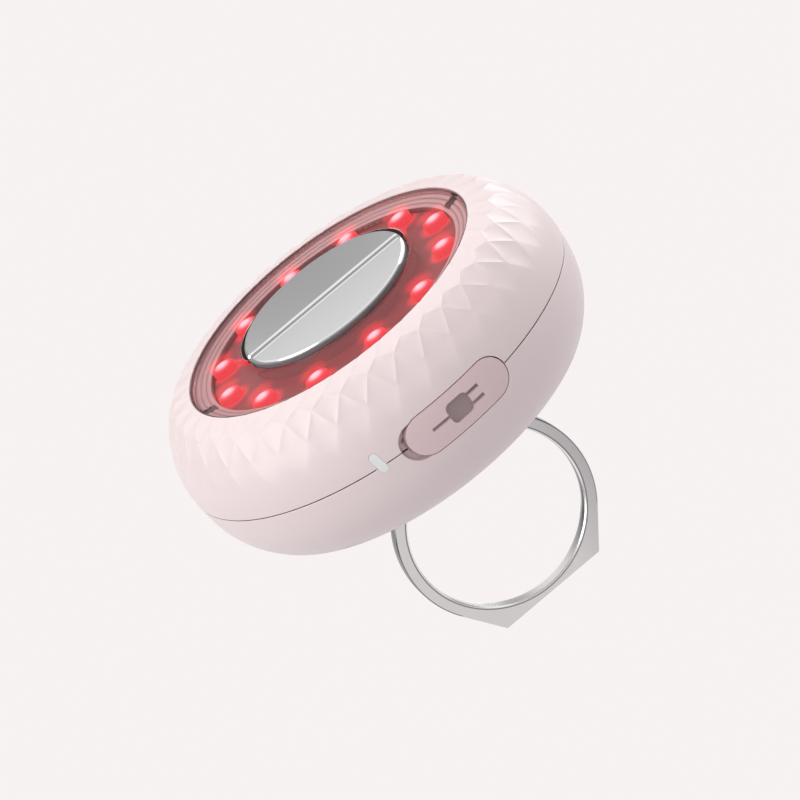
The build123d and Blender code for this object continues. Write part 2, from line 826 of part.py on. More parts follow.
# Charging socket: a rounded metal sleeve, blind at the back, with its contact tongue
with BuildPart() as charging_socket:
    with BuildSketch(side_plane(port_turn, socket_mouth)):
        SlotOverall(socket_width, socket_height)
    extrude(amount=-socket_depth)
    with BuildSketch(side_plane(port_turn, socket_mouth)):
        SlotOverall(socket_width - 2 * socket_wall, socket_height - 2 * socket_wall)
    extrude(amount=-socket_cavity_depth, mode=Mode.SUBTRACT)
charging_socket.part.label = "charging_socket"
export_step(charging_socket.part, "parts/charging_socket.step")

with BuildPart() as socket_tongue:
    with BuildSketch(side_plane(port_turn, socket_mouth - socket_cavity_depth)):
        Rectangle(*tongue_size)
    extrude(amount=socket_cavity_depth - tongue_setback)
socket_tongue.part.label = "socket_tongue"
export_step(socket_tongue.part, "parts/socket_tongue.step")

# Strap that anchors the port cover: a pad under the cover's end, a neck and a barb inside
with BuildPart() as cover_strap:
    with BuildSketch(side_plane(port_turn, pocket_floor)):
        with Locations((strap_x, 0)):
            Rectangle(strap_length, strap_width)
    extrude(amount=strap_thickness)
    with BuildSketch(side_plane(port_turn, pocket_floor)):
        with Locations((strap_x, 0)):
            Rectangle(strap_length - slip, strap_width - slip)
    extrude(amount=port_pad_face - seat_gap - pocket_floor)
    with BuildSketch(side_plane(port_turn, port_pad_face - seat_gap)):
        with Locations((strap_x, 0)):
            Rectangle(strap_barb[0], strap_barb[1])
    extrude(amount=-strap_barb[2])
cover_strap.part.label = "cover_strap"
export_step(cover_strap.part, "parts/cover_strap.step")

# Port cover: follows the body's surface, with a plug for the socket and a sunk plug sign
with BuildPart() as port_cover:
    with BuildSketch(side_plane(port_turn, cover_inner_face)):
        SlotOverall(cover_length, cover_height)
    extrude(amount=body_radius - cover_inner_face + wall)
    add(whole_body.part, mode=Mode.INTERSECT)
    with BuildSketch(side_plane(port_turn, cover_inner_face)):
        SlotOverall(cover_plug[0], cover_plug[1])
    extrude(amount=-(cover_inner_face - socket_mouth + cover_plug[2]))
    with BuildSketch(side_plane(port_turn, cover_inner_face)):
        relief_start = strap_x - strap_length / 2 - slip
        relief_end = cover_length / 2 + slip
        with Locations(((relief_start + relief_end) / 2, 0)):
            Rectangle(relief_end - relief_start, strap_width + 2 * slip)
    extrude(amount=pocket_floor + strap_thickness + slip - cover_inner_face, mode=Mode.SUBTRACT)
    with BuildSketch(side_plane(port_turn, sign_floor)):
        RectangleRounded(sign_body[0], sign_body[1], sign_body_corner)
        with Locations((-(sign_body[0] + sign_cord[0]) / 2, 0)):
            Rectangle(sign_cord[0] + slip, sign_cord[1])
        with Locations(((sign_body[0] + sign_prong[0]) / 2, 0)):
            with GridLocations(0, sign_prong_pitch, 1, 2):
                Rectangle(sign_prong[0] + slip, sign_prong[1])
    extrude(amount=wall, mode=Mode.SUBTRACT)
port_cover.part.label = "port_cover"
export_step(port_cover.part, "parts/port_cover.step")

# Light pipe through the wall, with a flange inside and a neck towards its diode
indicator_inner_end = main_board_radius + indicator_diode[2] + slip
with BuildPart() as light_pipe:
    with BuildSketch(side_plane(indicator_turn, indicator_inner_end, indicator_height)):
        SlotOverall(indicator_size[0], indicator_size[1], rotation=90 + indicator_tilt)
    extrude(amount=body_radius - indicator_inner_end + wall)
    add(whole_body.part, mode=Mode.INTERSECT)
    with BuildSketch(side_plane(indicator_turn, indicator_flange_face, indicator_height)):
        SlotOverall(indicator_flange[0], indicator_flange[1], rotation=90 + indicator_tilt)
    extrude(amount=-indicator_flange[2])
light_pipe.part.label = "light_pipe"
export_step(light_pipe.part, "parts/light_pipe.step")

with BuildPart() as indicator_lamp:
    lamp_level = main_board_underside + board_thickness / 2
    with BuildSketch(side_plane(indicator_turn, main_board_radius - seat_gap, lamp_level)):
        Rectangle(indicator_diode[0], indicator_diode[1])
    extrude(amount=indicator_diode[2])
    discs(centre_spot, main_board_underside, main_board_radius, board_thickness, Mode.SUBTRACT)
indicator_lamp.part.label = "indicator_diode"
export_step(indicator_lamp.part, "parts/indicator_diode.step")

# Power button: a proud cap, a flange behind the wall and a plunger towards the switch
button_flange_face = button_pad_face - seat_gap
plunger_end = button_flange_face - button_flange[2] - plunger_length
with BuildPart() as power_button:
    with BuildSketch(side_plane(button_turn, button_flange_face)):
        SlotOverall(button_size[0], button_size[1])
    extrude(amount=body_radius - button_flange_face + wall)
    add(proud_body.part, mode=Mode.INTERSECT)
    with BuildSketch(side_plane(button_turn, button_flange_face)):
        SlotOverall(button_flange[0], button_flange[1])
    extrude(amount=-button_flange[2])
    with BuildSketch(side_plane(button_turn, button_flange_face - button_flange[2])):
        Circle(plunger_radius)
    extrude(amount=-plunger_length)
power_button.part.label = "power_button"
export_step(power_button.part, "parts/power_button.step")

# Side switch under the main board, with its nub just short of the pressed plunger
with BuildPart() as side_switch:
    switch_face = plunger_end - button_travel - seat_gap - switch_nub_length
    switch_level = main_board_underside - switch_size[2] / 2
    with BuildSketch(side_plane(button_turn, switch_face, switch_level)):
        Rectangle(switch_size[0], switch_size[2])
    extrude(amount=-switch_size[1])
    with BuildSketch(side_plane(button_turn, switch_face)):
        Circle(switch_nub_radius)
    extrude(amount=switch_nub_length)
side_switch.part.label = "side_switch"
export_step(side_switch.part, "parts/side_switch.step")

# Case screws from below, and soft plugs that follow the shell's surface over their heads
with BuildPart() as case_screws:
    upward_screws(case_spots, case_head_seat, case_screw)
case_screws.part.label = "case_screws"
export_step(case_screws.part, "parts/case_screws.step")

with BuildPart() as screw_plugs:
    plug_top = case_head_seat - case_screw[1] - seat_gap
    discs(case_spots, back_level, case_screw[0] + head_well_gap - seat_gap, plug_top - back_level)
    add(whole_body.part, mode=Mode.INTERSECT)
screw_plugs.part.label = "screw_plugs"
export_step(screw_plugs.part, "parts/screw_plugs.step")

# Bush in the floor, and the wave washer that drags on it
with BuildPart() as swivel_bush:
    bush_bore = shaft_radius + running_gap
    discs(centre_spot, floor_level, bush_flange_radius, bush_flange_thickness)
    discs(centre_spot, back_level, bush_bore + bush_wall - thread_gap, wall)
    discs(centre_spot, back_level, bush_bore, wall + bush_flange_thickness, Mode.SUBTRACT)
swivel_bush.part.label = "swivel_bush"
export_step(swivel_bush.part, "parts/swivel_bush.step")

with BuildPart() as wave_washer:
    wave_rise = wave_washer_height - wave_washer_strip
    with BuildSketch(Plane.XY.offset(bush_top)):
        Circle(bush_flange_radius)
        Circle(shaft_radius + 2 * slip, mode=Mode.SUBTRACT)
    extrude(amount=wave_washer_height)
    for lowered in (bush_top, wave_washer_top):
        away = 1 if lowered == bush_top else -1
        turn = 0 if lowered == bush_top else 90
        sag_radius = (bush_flange_radius**2 + wave_rise**2) / (2 * wave_rise)
        with BuildSketch(Plane.XZ.rotated((0, 0, turn)).offset(-bush_flange_radius - slip)):
            with Locations((0, lowered - away * (sag_radius - wave_rise))):
                Circle(sag_radius)
        extrude(amount=2 * (bush_flange_radius + slip), mode=Mode.SUBTRACT)
wave_washer.part.label = "wave_washer"
export_step(wave_washer.part, "parts/wave_washer.step")

# Swivel plate: the shaft above it, the barrel of the ring's hinge below it
with BuildPart() as swivel_plate:
    discs(centre_spot, swivel_plate_underside, swivel_plate_radius, swivel_plate_thickness)
    chamfer(swivel_plate.edges().group_by(Axis.Z)[0], swivel_plate_chamfer)
    discs(centre_spot, swivel_plate_top, shaft_radius, wave_washer_top - swivel_plate_top)
    with BuildSketch(Plane.YZ.offset(-barrel_length / 2)):
        with Locations((0, hinge_level)):
            Circle(barrel_radius)
        with Locations((0, (hinge_level + swivel_plate_underside) / 2)):
            Rectangle(2 * (barrel_radius - slip), swivel_plate_underside - hinge_level)
    extrude(amount=barrel_length)
    with BuildSketch(Plane.YZ.offset(-barrel_length / 2)):
        with Locations((0, hinge_level)):
            Circle(pin_radius + running_gap)
    extrude(amount=barrel_length, mode=Mode.SUBTRACT)
    screw_hole_depth = swivel_screw[3] - retaining_washer_thickness + slip
    discs(centre_spot, wave_washer_top, swivel_screw[2] + thread_gap, -screw_hole_depth, Mode.SUBTRACT)
swivel_plate.part.label = "swivel_plate"
export_step(swivel_plate.part, "parts/swivel_plate.step")

with BuildPart() as retaining_washer:
    discs(centre_spot, wave_washer_top, retaining_washer_radius, retaining_washer_thickness)
    discs(centre_spot, wave_washer_top, swivel_screw[2] + slip, retaining_washer_thickness, Mode.SUBTRACT)
retaining_washer.part.label = "retaining_washer"
export_step(retaining_washer.part, "parts/retaining_washer.step")

with BuildPart() as swivel_screw_piece:
    screw_seat = wave_washer_top + retaining_washer_thickness
    discs(centre_spot, screw_seat, swivel_screw[0], swivel_screw[1])
    discs(centre_spot, screw_seat, swivel_screw[2], -swivel_screw[3])
    with BuildSketch(Plane.XY.offset(screw_seat + swivel_screw[1])):
        Rectangle(swivel_screw[0], recess_width)
        Rectangle(recess_width, swivel_screw[0])
    extrude(amount=-recess_depth, mode=Mode.SUBTRACT)
swivel_screw_piece.part.label = "swivel_screw"
export_step(swivel_screw_piece.part, "parts/swivel_screw.step")

# Finger ring: a band with a flat foot, open at the top between two eyes for the hinge pin
eye_start = barrel_length / 2 + slip
with BuildPart() as finger_ring:
    ring_plane = Plane.XZ.offset(-ring_width / 2)
    foot_drop = ring_bore_radius + ring_foot_thickness
    corner_reach = ring_outer_radius + ring_corner_reach
    foot_half_length = sqrt(corner_reach**2 - foot_drop**2)
    corner_angle = degrees(acos(foot_drop / corner_reach))
    tangent_angle = corner_angle + degrees(acos(ring_outer_radius / corner_reach))
    with BuildSketch(ring_plane):
        with Locations((0, ring_centre_level)):
            Circle(ring_outer_radius)
            touch = polar(ring_outer_radius, tangent_angle - 90)
            Polygon(
                (touch[0], touch[1]),
                (-touch[0], touch[1]),
                (-foot_half_length, -foot_drop),
                (foot_half_length, -foot_drop),
                align=None,
            )
            with Locations((0, -foot_drop - ring_outer_radius)):
                Rectangle(2 * ring_outer_radius, 2 * ring_outer_radius, mode=Mode.SUBTRACT)
            Circle(ring_bore_radius, mode=Mode.SUBTRACT)
            with Locations((0, ring_outer_radius)):
                Rectangle(2 * eye_start, 2 * ring_outer_radius, mode=Mode.SUBTRACT)
    extrude(amount=ring_width)
    chamfer(finger_ring.edges().filter_by(GeomType.CIRCLE), ring_edge)
    for side in (-1, 1):
        eye_plane = Plane.YZ.offset(side * eye_start)
        with BuildSketch(eye_plane):
            with Locations((0, hinge_level)):
                Circle(barrel_radius)
        extrude(amount=side * eye_length)
        with BuildSketch(eye_plane):
            with Locations((0, hinge_level)):
                Circle(pin_radius + thread_gap)
        extrude(amount=side * eye_length, mode=Mode.SUBTRACT)
finger_ring.part.label = "finger_ring"
export_step(finger_ring.part, "parts/finger_ring.step")

with BuildPart() as hinge_pin:
    pin_half = eye_start + eye_length - seat_gap
    with BuildSketch(Plane.YZ.offset(-pin_half)):
        with Locations((0, hinge_level)):
            Circle(pin_radius)
    extrude(amount=2 * pin_half)
hinge_pin.part.label = "hinge_pin"
export_step(hinge_pin.part, "parts/hinge_pin.step")
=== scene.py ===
from math import asin, atan2, ceil, cos, degrees, hypot, pi, radians, sin, sqrt

import bmesh
import bpy
from mathutils import Matrix, Vector


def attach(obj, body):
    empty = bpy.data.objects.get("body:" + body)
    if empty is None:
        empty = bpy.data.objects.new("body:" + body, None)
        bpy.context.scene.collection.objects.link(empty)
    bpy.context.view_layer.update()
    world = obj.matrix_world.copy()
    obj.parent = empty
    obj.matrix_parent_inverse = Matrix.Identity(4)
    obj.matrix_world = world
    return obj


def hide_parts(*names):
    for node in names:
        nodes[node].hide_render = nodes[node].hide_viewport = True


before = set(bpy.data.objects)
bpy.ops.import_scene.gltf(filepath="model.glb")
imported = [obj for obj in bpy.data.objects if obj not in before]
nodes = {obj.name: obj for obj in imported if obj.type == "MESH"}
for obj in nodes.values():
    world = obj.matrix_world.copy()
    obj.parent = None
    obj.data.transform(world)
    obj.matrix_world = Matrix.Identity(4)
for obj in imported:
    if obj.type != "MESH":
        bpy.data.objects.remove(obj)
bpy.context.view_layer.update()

# Red light therapy wand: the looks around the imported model. Named sizes are in millimetres.
MM = 0.001

# Body outline: tangent bends from the widest circle up to the lens opening
body_radius = 27.0
equator_height = 0.9
under_bend_radius = 22.0
side_bend = (11.4, 46.0)
edge_bend = (2.4, 30.0)
crown_radius = 14.0

# Facets: a lattice of diamonds, whose corners lie on the outline in rows, each row half a scale round from
# the last. Rows are given as turns of the outline's normal, from the lens down to the side.
scale_count = 38
ridge_azimuth = -94.0
facet_rows = (88.0, 76.0, 46.0, 30.5, 8.5)
facet_steps = (8, 6, 16, 16)
facet_depth = 0.17
last_band = len(facet_rows) - 2
columns_per_scale = 16
skin_inset = 0.02
skin_push = 0.2
skin_base_inset = 0.25
skin_reach = 0.03
skin_start = 0.04
skin_bottom = -0.5
skin_top = 10.0
plain_turns_below = (-1.0, 0.0, 3.0, 6.0)
plain_turns_above = (89, 90, 92, 94)
shift_below = -0.5
shift_above = 1.5
seam_height = 0.13

# Diodes, in the ring round the electrodes
diode_count = 12
diode_circle_radius = 15.9
diode_turn = 1.5
diode_base_radius = 1.52
diode_base_height = 1.26
diode_dome_radius = 1.50
diode_dome_height = 0.34
diode_board_top = 7.233
diode_foot_gap = 0.01
diode_dome_steps = 10

# Electrode carrier, where a red glow from the diodes is painted on it
carrier_rim = (10.6, 11.5)
carrier_lit_heights = (6.8, 7.4)

# Bezel, whose ridges fall inwards
bezel_inner = 17.5
bezel_reach = 2.1
bezel_ridges = 3
bezel_ridge_rise = 0.12
bezel_top = 8.68
bezel_fall = 0.42
bezel_flange = (19.50, 19.65)
bezel_steps = 48
bezel_columns = 240
bezel_cut_bottom = 6.9
bezel_cut_top = 9.3
bezel_cut_reach = 22.5
notch_turn = 2.7
notch_half = (0.88, 0.96)
notch_start = (17.9, 18.1)

# Lens, domed towards the electrodes, with a soft fall at its hole
lens_hole = 11.75
lens_reach = 19.98
lens_thickness = 1.0
lens_rim = 10.02
lens_rise = 0.335
lens_bow = 0.045
lens_fall_start = 12.8
lens_fall = 0.22
lens_edge_drop = 0.1
lens_steps = 48
lens_columns = 288
lens_frost = (19.90, 19.94)
lens_underside = (9.4, 9.5)
lens_index = 1.49

# Finger ring
ring_bore = 11.25
ring_band = 1.65
ring_centre = -25.009
ring_foot_drop = -7.25
ring_hinge_drop = (9.4, 10.2)
ring_lowest = -20.0

# Electrode tops: a lip along the gap, a fine ridge behind it on the front half, then a gentle slope
electrode_top = 11.033
electrode_radius = 11.6
electrode_crown = 0.03
electrode_reach = 12.6
electrode_cut_bottom = 5.0
front_drop = 0.035
front_slope = 0.0085
ridge_lines = (0.99, 1.31)
ridge_flank = 0.13
ridge_rise = 0.022
lip_slope = 0.020
rear_drop = 0.012
rear_edge = 0.5
rear_slope = 0.0170
rear_slope_fall = 0.00008
rear_slope_middle = 2
electrode_side = (11.40, 11.56)
electrode_lines = (-1.31, -1.18, -1.12, -0.99, -0.58, -0.5, -0.18, -0.1)
solid_steps = 60

# Port cover, the scoop beside it and its sunk sign, both darkened with painted shade
port_turn = 4.55
scoop_along = -6.1
scoop_distance = 27.002
scoop_radius = 2.6
pocket_floor = 24.95
sign_floor = 26.45
sign_body = (3.2, 2.8)
sign_body_corner = 0.8
sign_prong = (1.6, 0.5)
sign_prong_pitch = 1.4
sign_cord = (2.4, 0.45)
sign_thickness = 0.015

# Dark strip of painted shade in the groove between the shells, left out over half-widths in degrees where
# other parts cross it
seam_outer_inset = 0.07
seam_inner_inset = 0.30
seam_low = -0.02
seam_crossings = ((-90 + port_turn, 16.2), (-90 - 19.5, 1.7), (90 + port_turn, 9.9))

# Studio, in metres: floor, world levels from straight below to straight above, lights and camera
floor_side = 20.0
floor_level = -0.8
floor_glow = 1.05
floor_glow_share = 0.88
low_levels = ((0.0, 0.60), (0.50, 0.34), (0.65, 0.38), (0.670, 0.45))
spill_levels = (*low_levels, (0.70, 0.80), (0.76, 0.84), (1.0, 0.92))
mirrored_levels = (*low_levels, (0.70, 0.86), (0.76, 1.0), (1.0, 1.0))
world_warmth = 0.985
light_distance = 0.6
light_spread = 50
camera_azimuth = -5.0
camera_elevation = 21.93
camera_roll = 38.02
camera_distance = 0.621
camera_lens = 235.6
camera_shift = (0.0302, -0.0459)

# Colours of the studio and of the finishes, as screen values
backdrop_colour = (248, 242, 242)
floor_colour = (190, 190, 194)
shell_colour = (246, 229, 229)
lens_tint = (252, 238, 238)


def rgb(red, green, blue):
    """Screen colour values to a linear colour with alpha."""
    linear = []
    for value in (red, green, blue):
        share = value / 255
        linear.append(share / 12.92 if share <= 0.04045 else ((share + 0.055) / 1.055) ** 2.4)
    return (*linear, 1.0)


def turned(vector_x, vector_y, turn):
    """Plane vector turned about +Z by degrees."""
    c, s = cos(radians(turn)), sin(radians(turn))
    return vector_x * c - vector_y * s, vector_x * s + vector_y * c


# Studio: world light, floor far below, two broad lights and the camera

def make_world():
    """World that shows the backdrop to the camera, one set of levels to mirrors and another to the rest."""
    world = bpy.data.worlds.new("studio_world")
    bpy.context.scene.world = world
    world.use_nodes = True
    tree = world.node_tree
    tree.nodes.clear()
    output = tree.nodes.new("ShaderNodeOutputWorld")
    path = tree.nodes.new("ShaderNodeLightPath")
    seen = tree.nodes.new("ShaderNodeMath")
    seen.operation = "MAXIMUM"
    tree.links.new(path.outputs["Is Camera Ray"], seen.inputs[0])
    tree.links.new(path.outputs["Is Transmission Ray"], seen.inputs[1])
    backdrop = tree.nodes.new("ShaderNodeBackground")
    backdrop.inputs["Color"].default_value = rgb(*backdrop_colour)
    backdrop.inputs["Strength"].default_value = 1.0
    coordinates = tree.nodes.new("ShaderNodeTexCoord")
    split = tree.nodes.new("ShaderNodeSeparateXYZ")
    tree.links.new(coordinates.outputs["Generated"], split.inputs[0])
    half = tree.nodes.new("ShaderNodeMath")
    half.operation = "MULTIPLY_ADD"
    half.inputs[1].default_value = 0.5
    half.inputs[2].default_value = 0.5
    tree.links.new(split.outputs["Z"], half.inputs[0])

    def level(stops):
        """Brightness by height, from pairs of position and value."""
        height = tree.nodes.new("ShaderNodeValToRGB")
        for position, value in stops[1:-1]:
            height.color_ramp.elements.new(position)
        for element, (position, value) in zip(height.color_ramp.elements, stops):
            element.position = position
            element.color = (value, value * world_warmth, value * world_warmth, 1)
        height.color_ramp.interpolation = "EASE"
        tree.links.new(half.outputs[0], height.inputs["Fac"])
        return height.outputs["Color"]

    spill = level(spill_levels)
    mirrored = level(mirrored_levels)
    kind = tree.nodes.new("ShaderNodeMix")
    kind.data_type = "RGBA"
    tree.links.new(path.outputs["Is Glossy Ray"], kind.inputs["Factor"])
    tree.links.new(spill, kind.inputs["A"])
    tree.links.new(mirrored, kind.inputs["B"])
    studio = tree.nodes.new("ShaderNodeBackground")
    tree.links.new(kind.outputs["Result"], studio.inputs["Color"])
    studio.inputs["Strength"].default_value = 1.0
    mix = tree.nodes.new("ShaderNodeMixShader")
    tree.links.new(seen.outputs[0], mix.inputs["Fac"])
    tree.links.new(studio.outputs[0], mix.inputs[1])
    tree.links.new(backdrop.outputs[0], mix.inputs[2])
    tree.links.new(mix.outputs[0], output.inputs["Surface"])


def make_floor():
    """Floor that glows as the backdrop for the camera and for mirrors, and keeps a share of shadow."""
    mesh = bpy.data.meshes.new("floor")
    corners = [(x * floor_side, y * floor_side, floor_level) for x, y in ((-1, -1), (1, -1), (1, 1), (-1, 1))]
    mesh.from_pydata(corners, [], [(0, 1, 2, 3)])
    floor = bpy.data.objects.new("floor", mesh)
    bpy.context.scene.collection.objects.link(floor)
    material = bpy.data.materials.new("floor_paint")
    material.use_nodes = True
    tree = material.node_tree
    tree.nodes.clear()
    output = tree.nodes.new("ShaderNodeOutputMaterial")
    path = tree.nodes.new("ShaderNodeLightPath")
    seen = tree.nodes.new("ShaderNodeMath")
    seen.operation = "MAXIMUM"
    tree.links.new(path.outputs["Is Camera Ray"], seen.inputs[0])
    tree.links.new(path.outputs["Is Glossy Ray"], seen.inputs[1])
    glow = tree.nodes.new("ShaderNodeEmission")
    glow.inputs["Color"].default_value = rgb(*backdrop_colour)
    glow.inputs["Strength"].default_value = floor_glow
    paint = tree.nodes.new("ShaderNodeBsdfDiffuse")
    paint.inputs["Color"].default_value = rgb(*floor_colour)
    share = tree.nodes.new("ShaderNodeMath")
    share.operation = "MULTIPLY"
    share.inputs[1].default_value = floor_glow_share
    tree.links.new(seen.outputs[0], share.inputs[0])
    mix = tree.nodes.new("ShaderNodeMixShader")
    tree.links.new(share.outputs[0], mix.inputs["Fac"])
    tree.links.new(paint.outputs[0], mix.inputs[1])
    tree.links.new(glow.outputs[0], mix.inputs[2])
    tree.links.new(mix.outputs[0], output.inputs["Surface"])
    mesh.materials.append(material)


def make_light(name, direction, strength, colour):
    """Broad light from far away in a direction."""
    lamp = bpy.data.lights.new(name, "SUN")
    lamp.energy = strength
    lamp.angle = radians(light_spread)
    lamp.color = colour
    light = bpy.data.objects.new(name, lamp)
    light.rotation_mode = "QUATERNION"
    light.rotation_quaternion = Vector(direction).to_track_quat("Z", "Y")
    light.location = Vector(direction).normalized() * light_distance
    bpy.context.scene.collection.objects.link(light)


def make_camera():
    """Camera that looks at the origin, from a distance and with a roll."""
    azimuth, elevation, roll = radians(camera_azimuth), radians(camera_elevation), radians(camera_roll)
    back = Vector((sin(azimuth) * cos(elevation), -cos(azimuth) * cos(elevation), sin(elevation)))
    level_right = Vector((cos(azimuth), sin(azimuth), 0))
    level_up = back.cross(level_right)
    right = cos(roll) * level_right - sin(roll) * level_up
    up = sin(roll) * level_right + cos(roll) * level_up
    data = bpy.data.cameras.new("camera")
    data.sensor_width = 36.0
    data.lens = camera_lens
    data.shift_x, data.shift_y = camera_shift
    data.clip_start = 0.05
    data.clip_end = 20.0
    camera = bpy.data.objects.new("camera", data)
    turn = Matrix((right, up, back)).transposed().to_4x4()
    camera.matrix_world = Matrix.Translation(back * camera_distance) @ turn
    bpy.context.scene.collection.objects.link(camera)
    bpy.context.scene.camera = camera


make_world()
make_floor()
make_light("key_light", (-0.80, -0.10, 0.60), 1.11, (1.0, 0.99, 0.98))
make_light("rim_light", (0.80, 0.58, 0.15), 1.4, (0.98, 0.99, 1.0))
make_camera()
bpy.context.scene.view_settings.view_transform = "Standard"


# Materials

def start_material(name):
    """A new material with its tree, its main shader and its object coordinates."""
    material = bpy.data.materials.new(name)
    material.use_nodes = True
    tree = material.node_tree
    shader = tree.nodes["Principled BSDF"]
    place = tree.nodes.new("ShaderNodeTexCoord")
    return material, tree, shader, place


def noise(tree, place, size, detail=3.0, stretch=None):
    """Noise with a feature size in millimetres, stretched along an axis where asked."""
    texture = tree.nodes.new("ShaderNodeTexNoise")
    texture.inputs["Scale"].default_value = 1 / (size * MM)
    texture.inputs["Detail"].default_value = detail
    source = place.outputs["Object"]
    if stretch:
        mapping = tree.nodes.new("ShaderNodeMapping")
        mapping.inputs["Scale"].default_value = stretch
        tree.links.new(source, mapping.inputs["Vector"])
        source = mapping.outputs["Vector"]
    tree.links.new(source, texture.inputs["Vector"])
    return texture


def calc(tree, operation, first, second=None):
    """Output of one sum on node outputs or numbers."""
    node = tree.nodes.new("ShaderNodeMath")
    node.operation = operation
    for number, value in enumerate((first, second)):
        if value is None:
            continue
        if isinstance(value, (int, float)):
            node.inputs[number].default_value = value
        else:
            tree.links.new(value, node.inputs[number])
    return node.outputs[0]


def spread(tree, value, low, high, start=0.0, end=1.0, shape="LINEAR"):
    """A value's range from low to high, in metres or plain, made into start to end."""
    node = tree.nodes.new("ShaderNodeMapRange")
    node.interpolation_type = shape
    node.inputs["From Min"].default_value = low
    node.inputs["From Max"].default_value = high
    node.inputs["To Min"].default_value = start
    node.inputs["To Max"].default_value = end
    tree.links.new(value, node.inputs["Value"])
    return node.outputs["Result"]


def length(tree, first, second):
    """Length of a vector in a plane, from its two parts."""
    squares = [calc(tree, "MULTIPLY", value, value) for value in (first, second)]
    return calc(tree, "SQRT", calc(tree, "ADD", *squares))


def span(tree, value, limits, start=0.0, end=1.0):
    """A value's range between two limits in millimetres, made into start to end."""
    return spread(tree, value, limits[0] * MM, limits[1] * MM, start, end)


def polar(tree, place):
    """X, Y, Z and the distance from the body's axis, in metres."""
    split = tree.nodes.new("ShaderNodeSeparateXYZ")
    tree.links.new(place.outputs["Object"], split.inputs[0])
    x, y, z = (split.outputs[axis] for axis in "XYZ")
    return x, y, z, length(tree, x, y)


def blend_colour(tree, factor, first, second):
    """Colour between two, either of which may be a colour or an output."""
    mix = tree.nodes.new("ShaderNodeMix")
    mix.data_type = "RGBA"
    tree.links.new(factor, mix.inputs["Factor"])
    for key, value in (("A", first), ("B", second)):
        if isinstance(value, tuple):
            mix.inputs[key].default_value = value
        else:
            tree.links.new(value, mix.inputs[key])
    return mix.outputs["Result"]


def vary_colour(tree, shader, texture, colour, amount):
    """Base colour that drifts by a share of itself with a texture."""
    dark = tuple(value * (1 - amount) for value in colour[:3]) + (1,)
    light = tuple(min(1, value * (1 + amount)) for value in colour[:3]) + (1,)
    paint = blend_colour(tree, texture.outputs["Fac"], dark, light)
    tree.links.new(paint, shader.inputs["Base Color"])
    return paint


def vary_roughness(tree, shader, texture, low, high):
    """Roughness that goes from low to high over the middle of a texture's range."""
    tree.links.new(spread(tree, texture.outputs["Fac"], 0.3, 0.7, low, high), shader.inputs["Roughness"])


def add_bump(tree, shader, texture, strength, distance):
    """Bump from a texture, over a distance in millimetres."""
    bump = tree.nodes.new("ShaderNodeBump")
    bump.inputs["Strength"].default_value = strength
    bump.inputs["Distance"].default_value = distance * MM
    tree.links.new(texture.outputs["Fac"], bump.inputs["Height"])
    tree.links.new(bump.outputs["Normal"], shader.inputs["Normal"])


def moulded(name, colour, roughness, drift=0.02, grain=0.12, grain_strength=0.15, coat=0.0):
    """Moulded plastic or rubber: slow drift of colour, a little unevenness of gloss and a fine grain."""
    material, tree, shader, place = start_material(name)
    vary_colour(tree, shader, noise(tree, place, 9.0), rgb(*colour), drift)
    vary_roughness(tree, shader, noise(tree, place, 2.5), roughness - 0.04, roughness + 0.04)
    add_bump(tree, shader, noise(tree, place, grain, 2.0), grain_strength, 0.004)
    shader.inputs["Coat Weight"].default_value = coat
    shader.inputs["Coat Roughness"].default_value = 0.25
    return material


def metal(name, colour, roughness, stretch=(1, 1, 1), scratch=0.25, strength=0.1):
    """Metal with fine brushing or polishing marks along its stretched direction."""
    material, tree, shader, place = start_material(name)
    marks = noise(tree, place, scratch, 4.0, stretch)
    vary_colour(tree, shader, noise(tree, place, 4.0), rgb(*colour), 0.03)
    vary_roughness(tree, shader, marks, max(0.02, roughness - 0.04), roughness + 0.05)
    add_bump(tree, shader, marks, strength, 0.002)
    shader.inputs["Metallic"].default_value = 1.0
    return material


def wear(material, nodes_on):
    """The material goes on every slot of the named model nodes."""
    for name in nodes_on:
        if not nodes[name].material_slots:
            nodes[name].data.materials.append(material)
        for slot in nodes[name].material_slots:
            slot.material = material


def paint_scoop_shade(material):
    """Painted shade in the finger scoop at the end of the port cover."""
    tree = material.node_tree
    shader = tree.nodes["Principled BSDF"]
    paint = shader.inputs["Base Color"].links[0].from_socket
    place = tree.nodes.new("ShaderNodeTexCoord")
    away = tree.nodes.new("ShaderNodeVectorMath")
    away.operation = "DISTANCE"
    tree.links.new(place.outputs["Object"], away.inputs[0])
    x, y = turned(scoop_along, -scoop_distance, port_turn)
    away.inputs[1].default_value = (x * MM, y * MM, 0)
    inside = span(tree, away.outputs["Value"], (scoop_radius + 0.02, scoop_radius + 0.06), 1.0, 0.0)
    outward = tree.nodes.new("ShaderNodeVectorMath")
    outward.operation = "DOT_PRODUCT"
    tree.links.new(place.outputs["Object"], outward.inputs[0])
    outward.inputs[1].default_value = (*turned(0, -1, port_turn), 0)
    open_side = span(tree, outward.outputs["Value"], (pocket_floor + 0.1, pocket_floor + 0.5))
    inside = calc(tree, "MULTIPLY", inside, open_side)
    # Painted shade: the scoop's hollow is darkened towards a brownish grey, but not on the floor of the
    # cover's pocket.
    tree.links.new(blend_colour(tree, inside, paint, rgb(198, 178, 178)), shader.inputs["Base Color"])


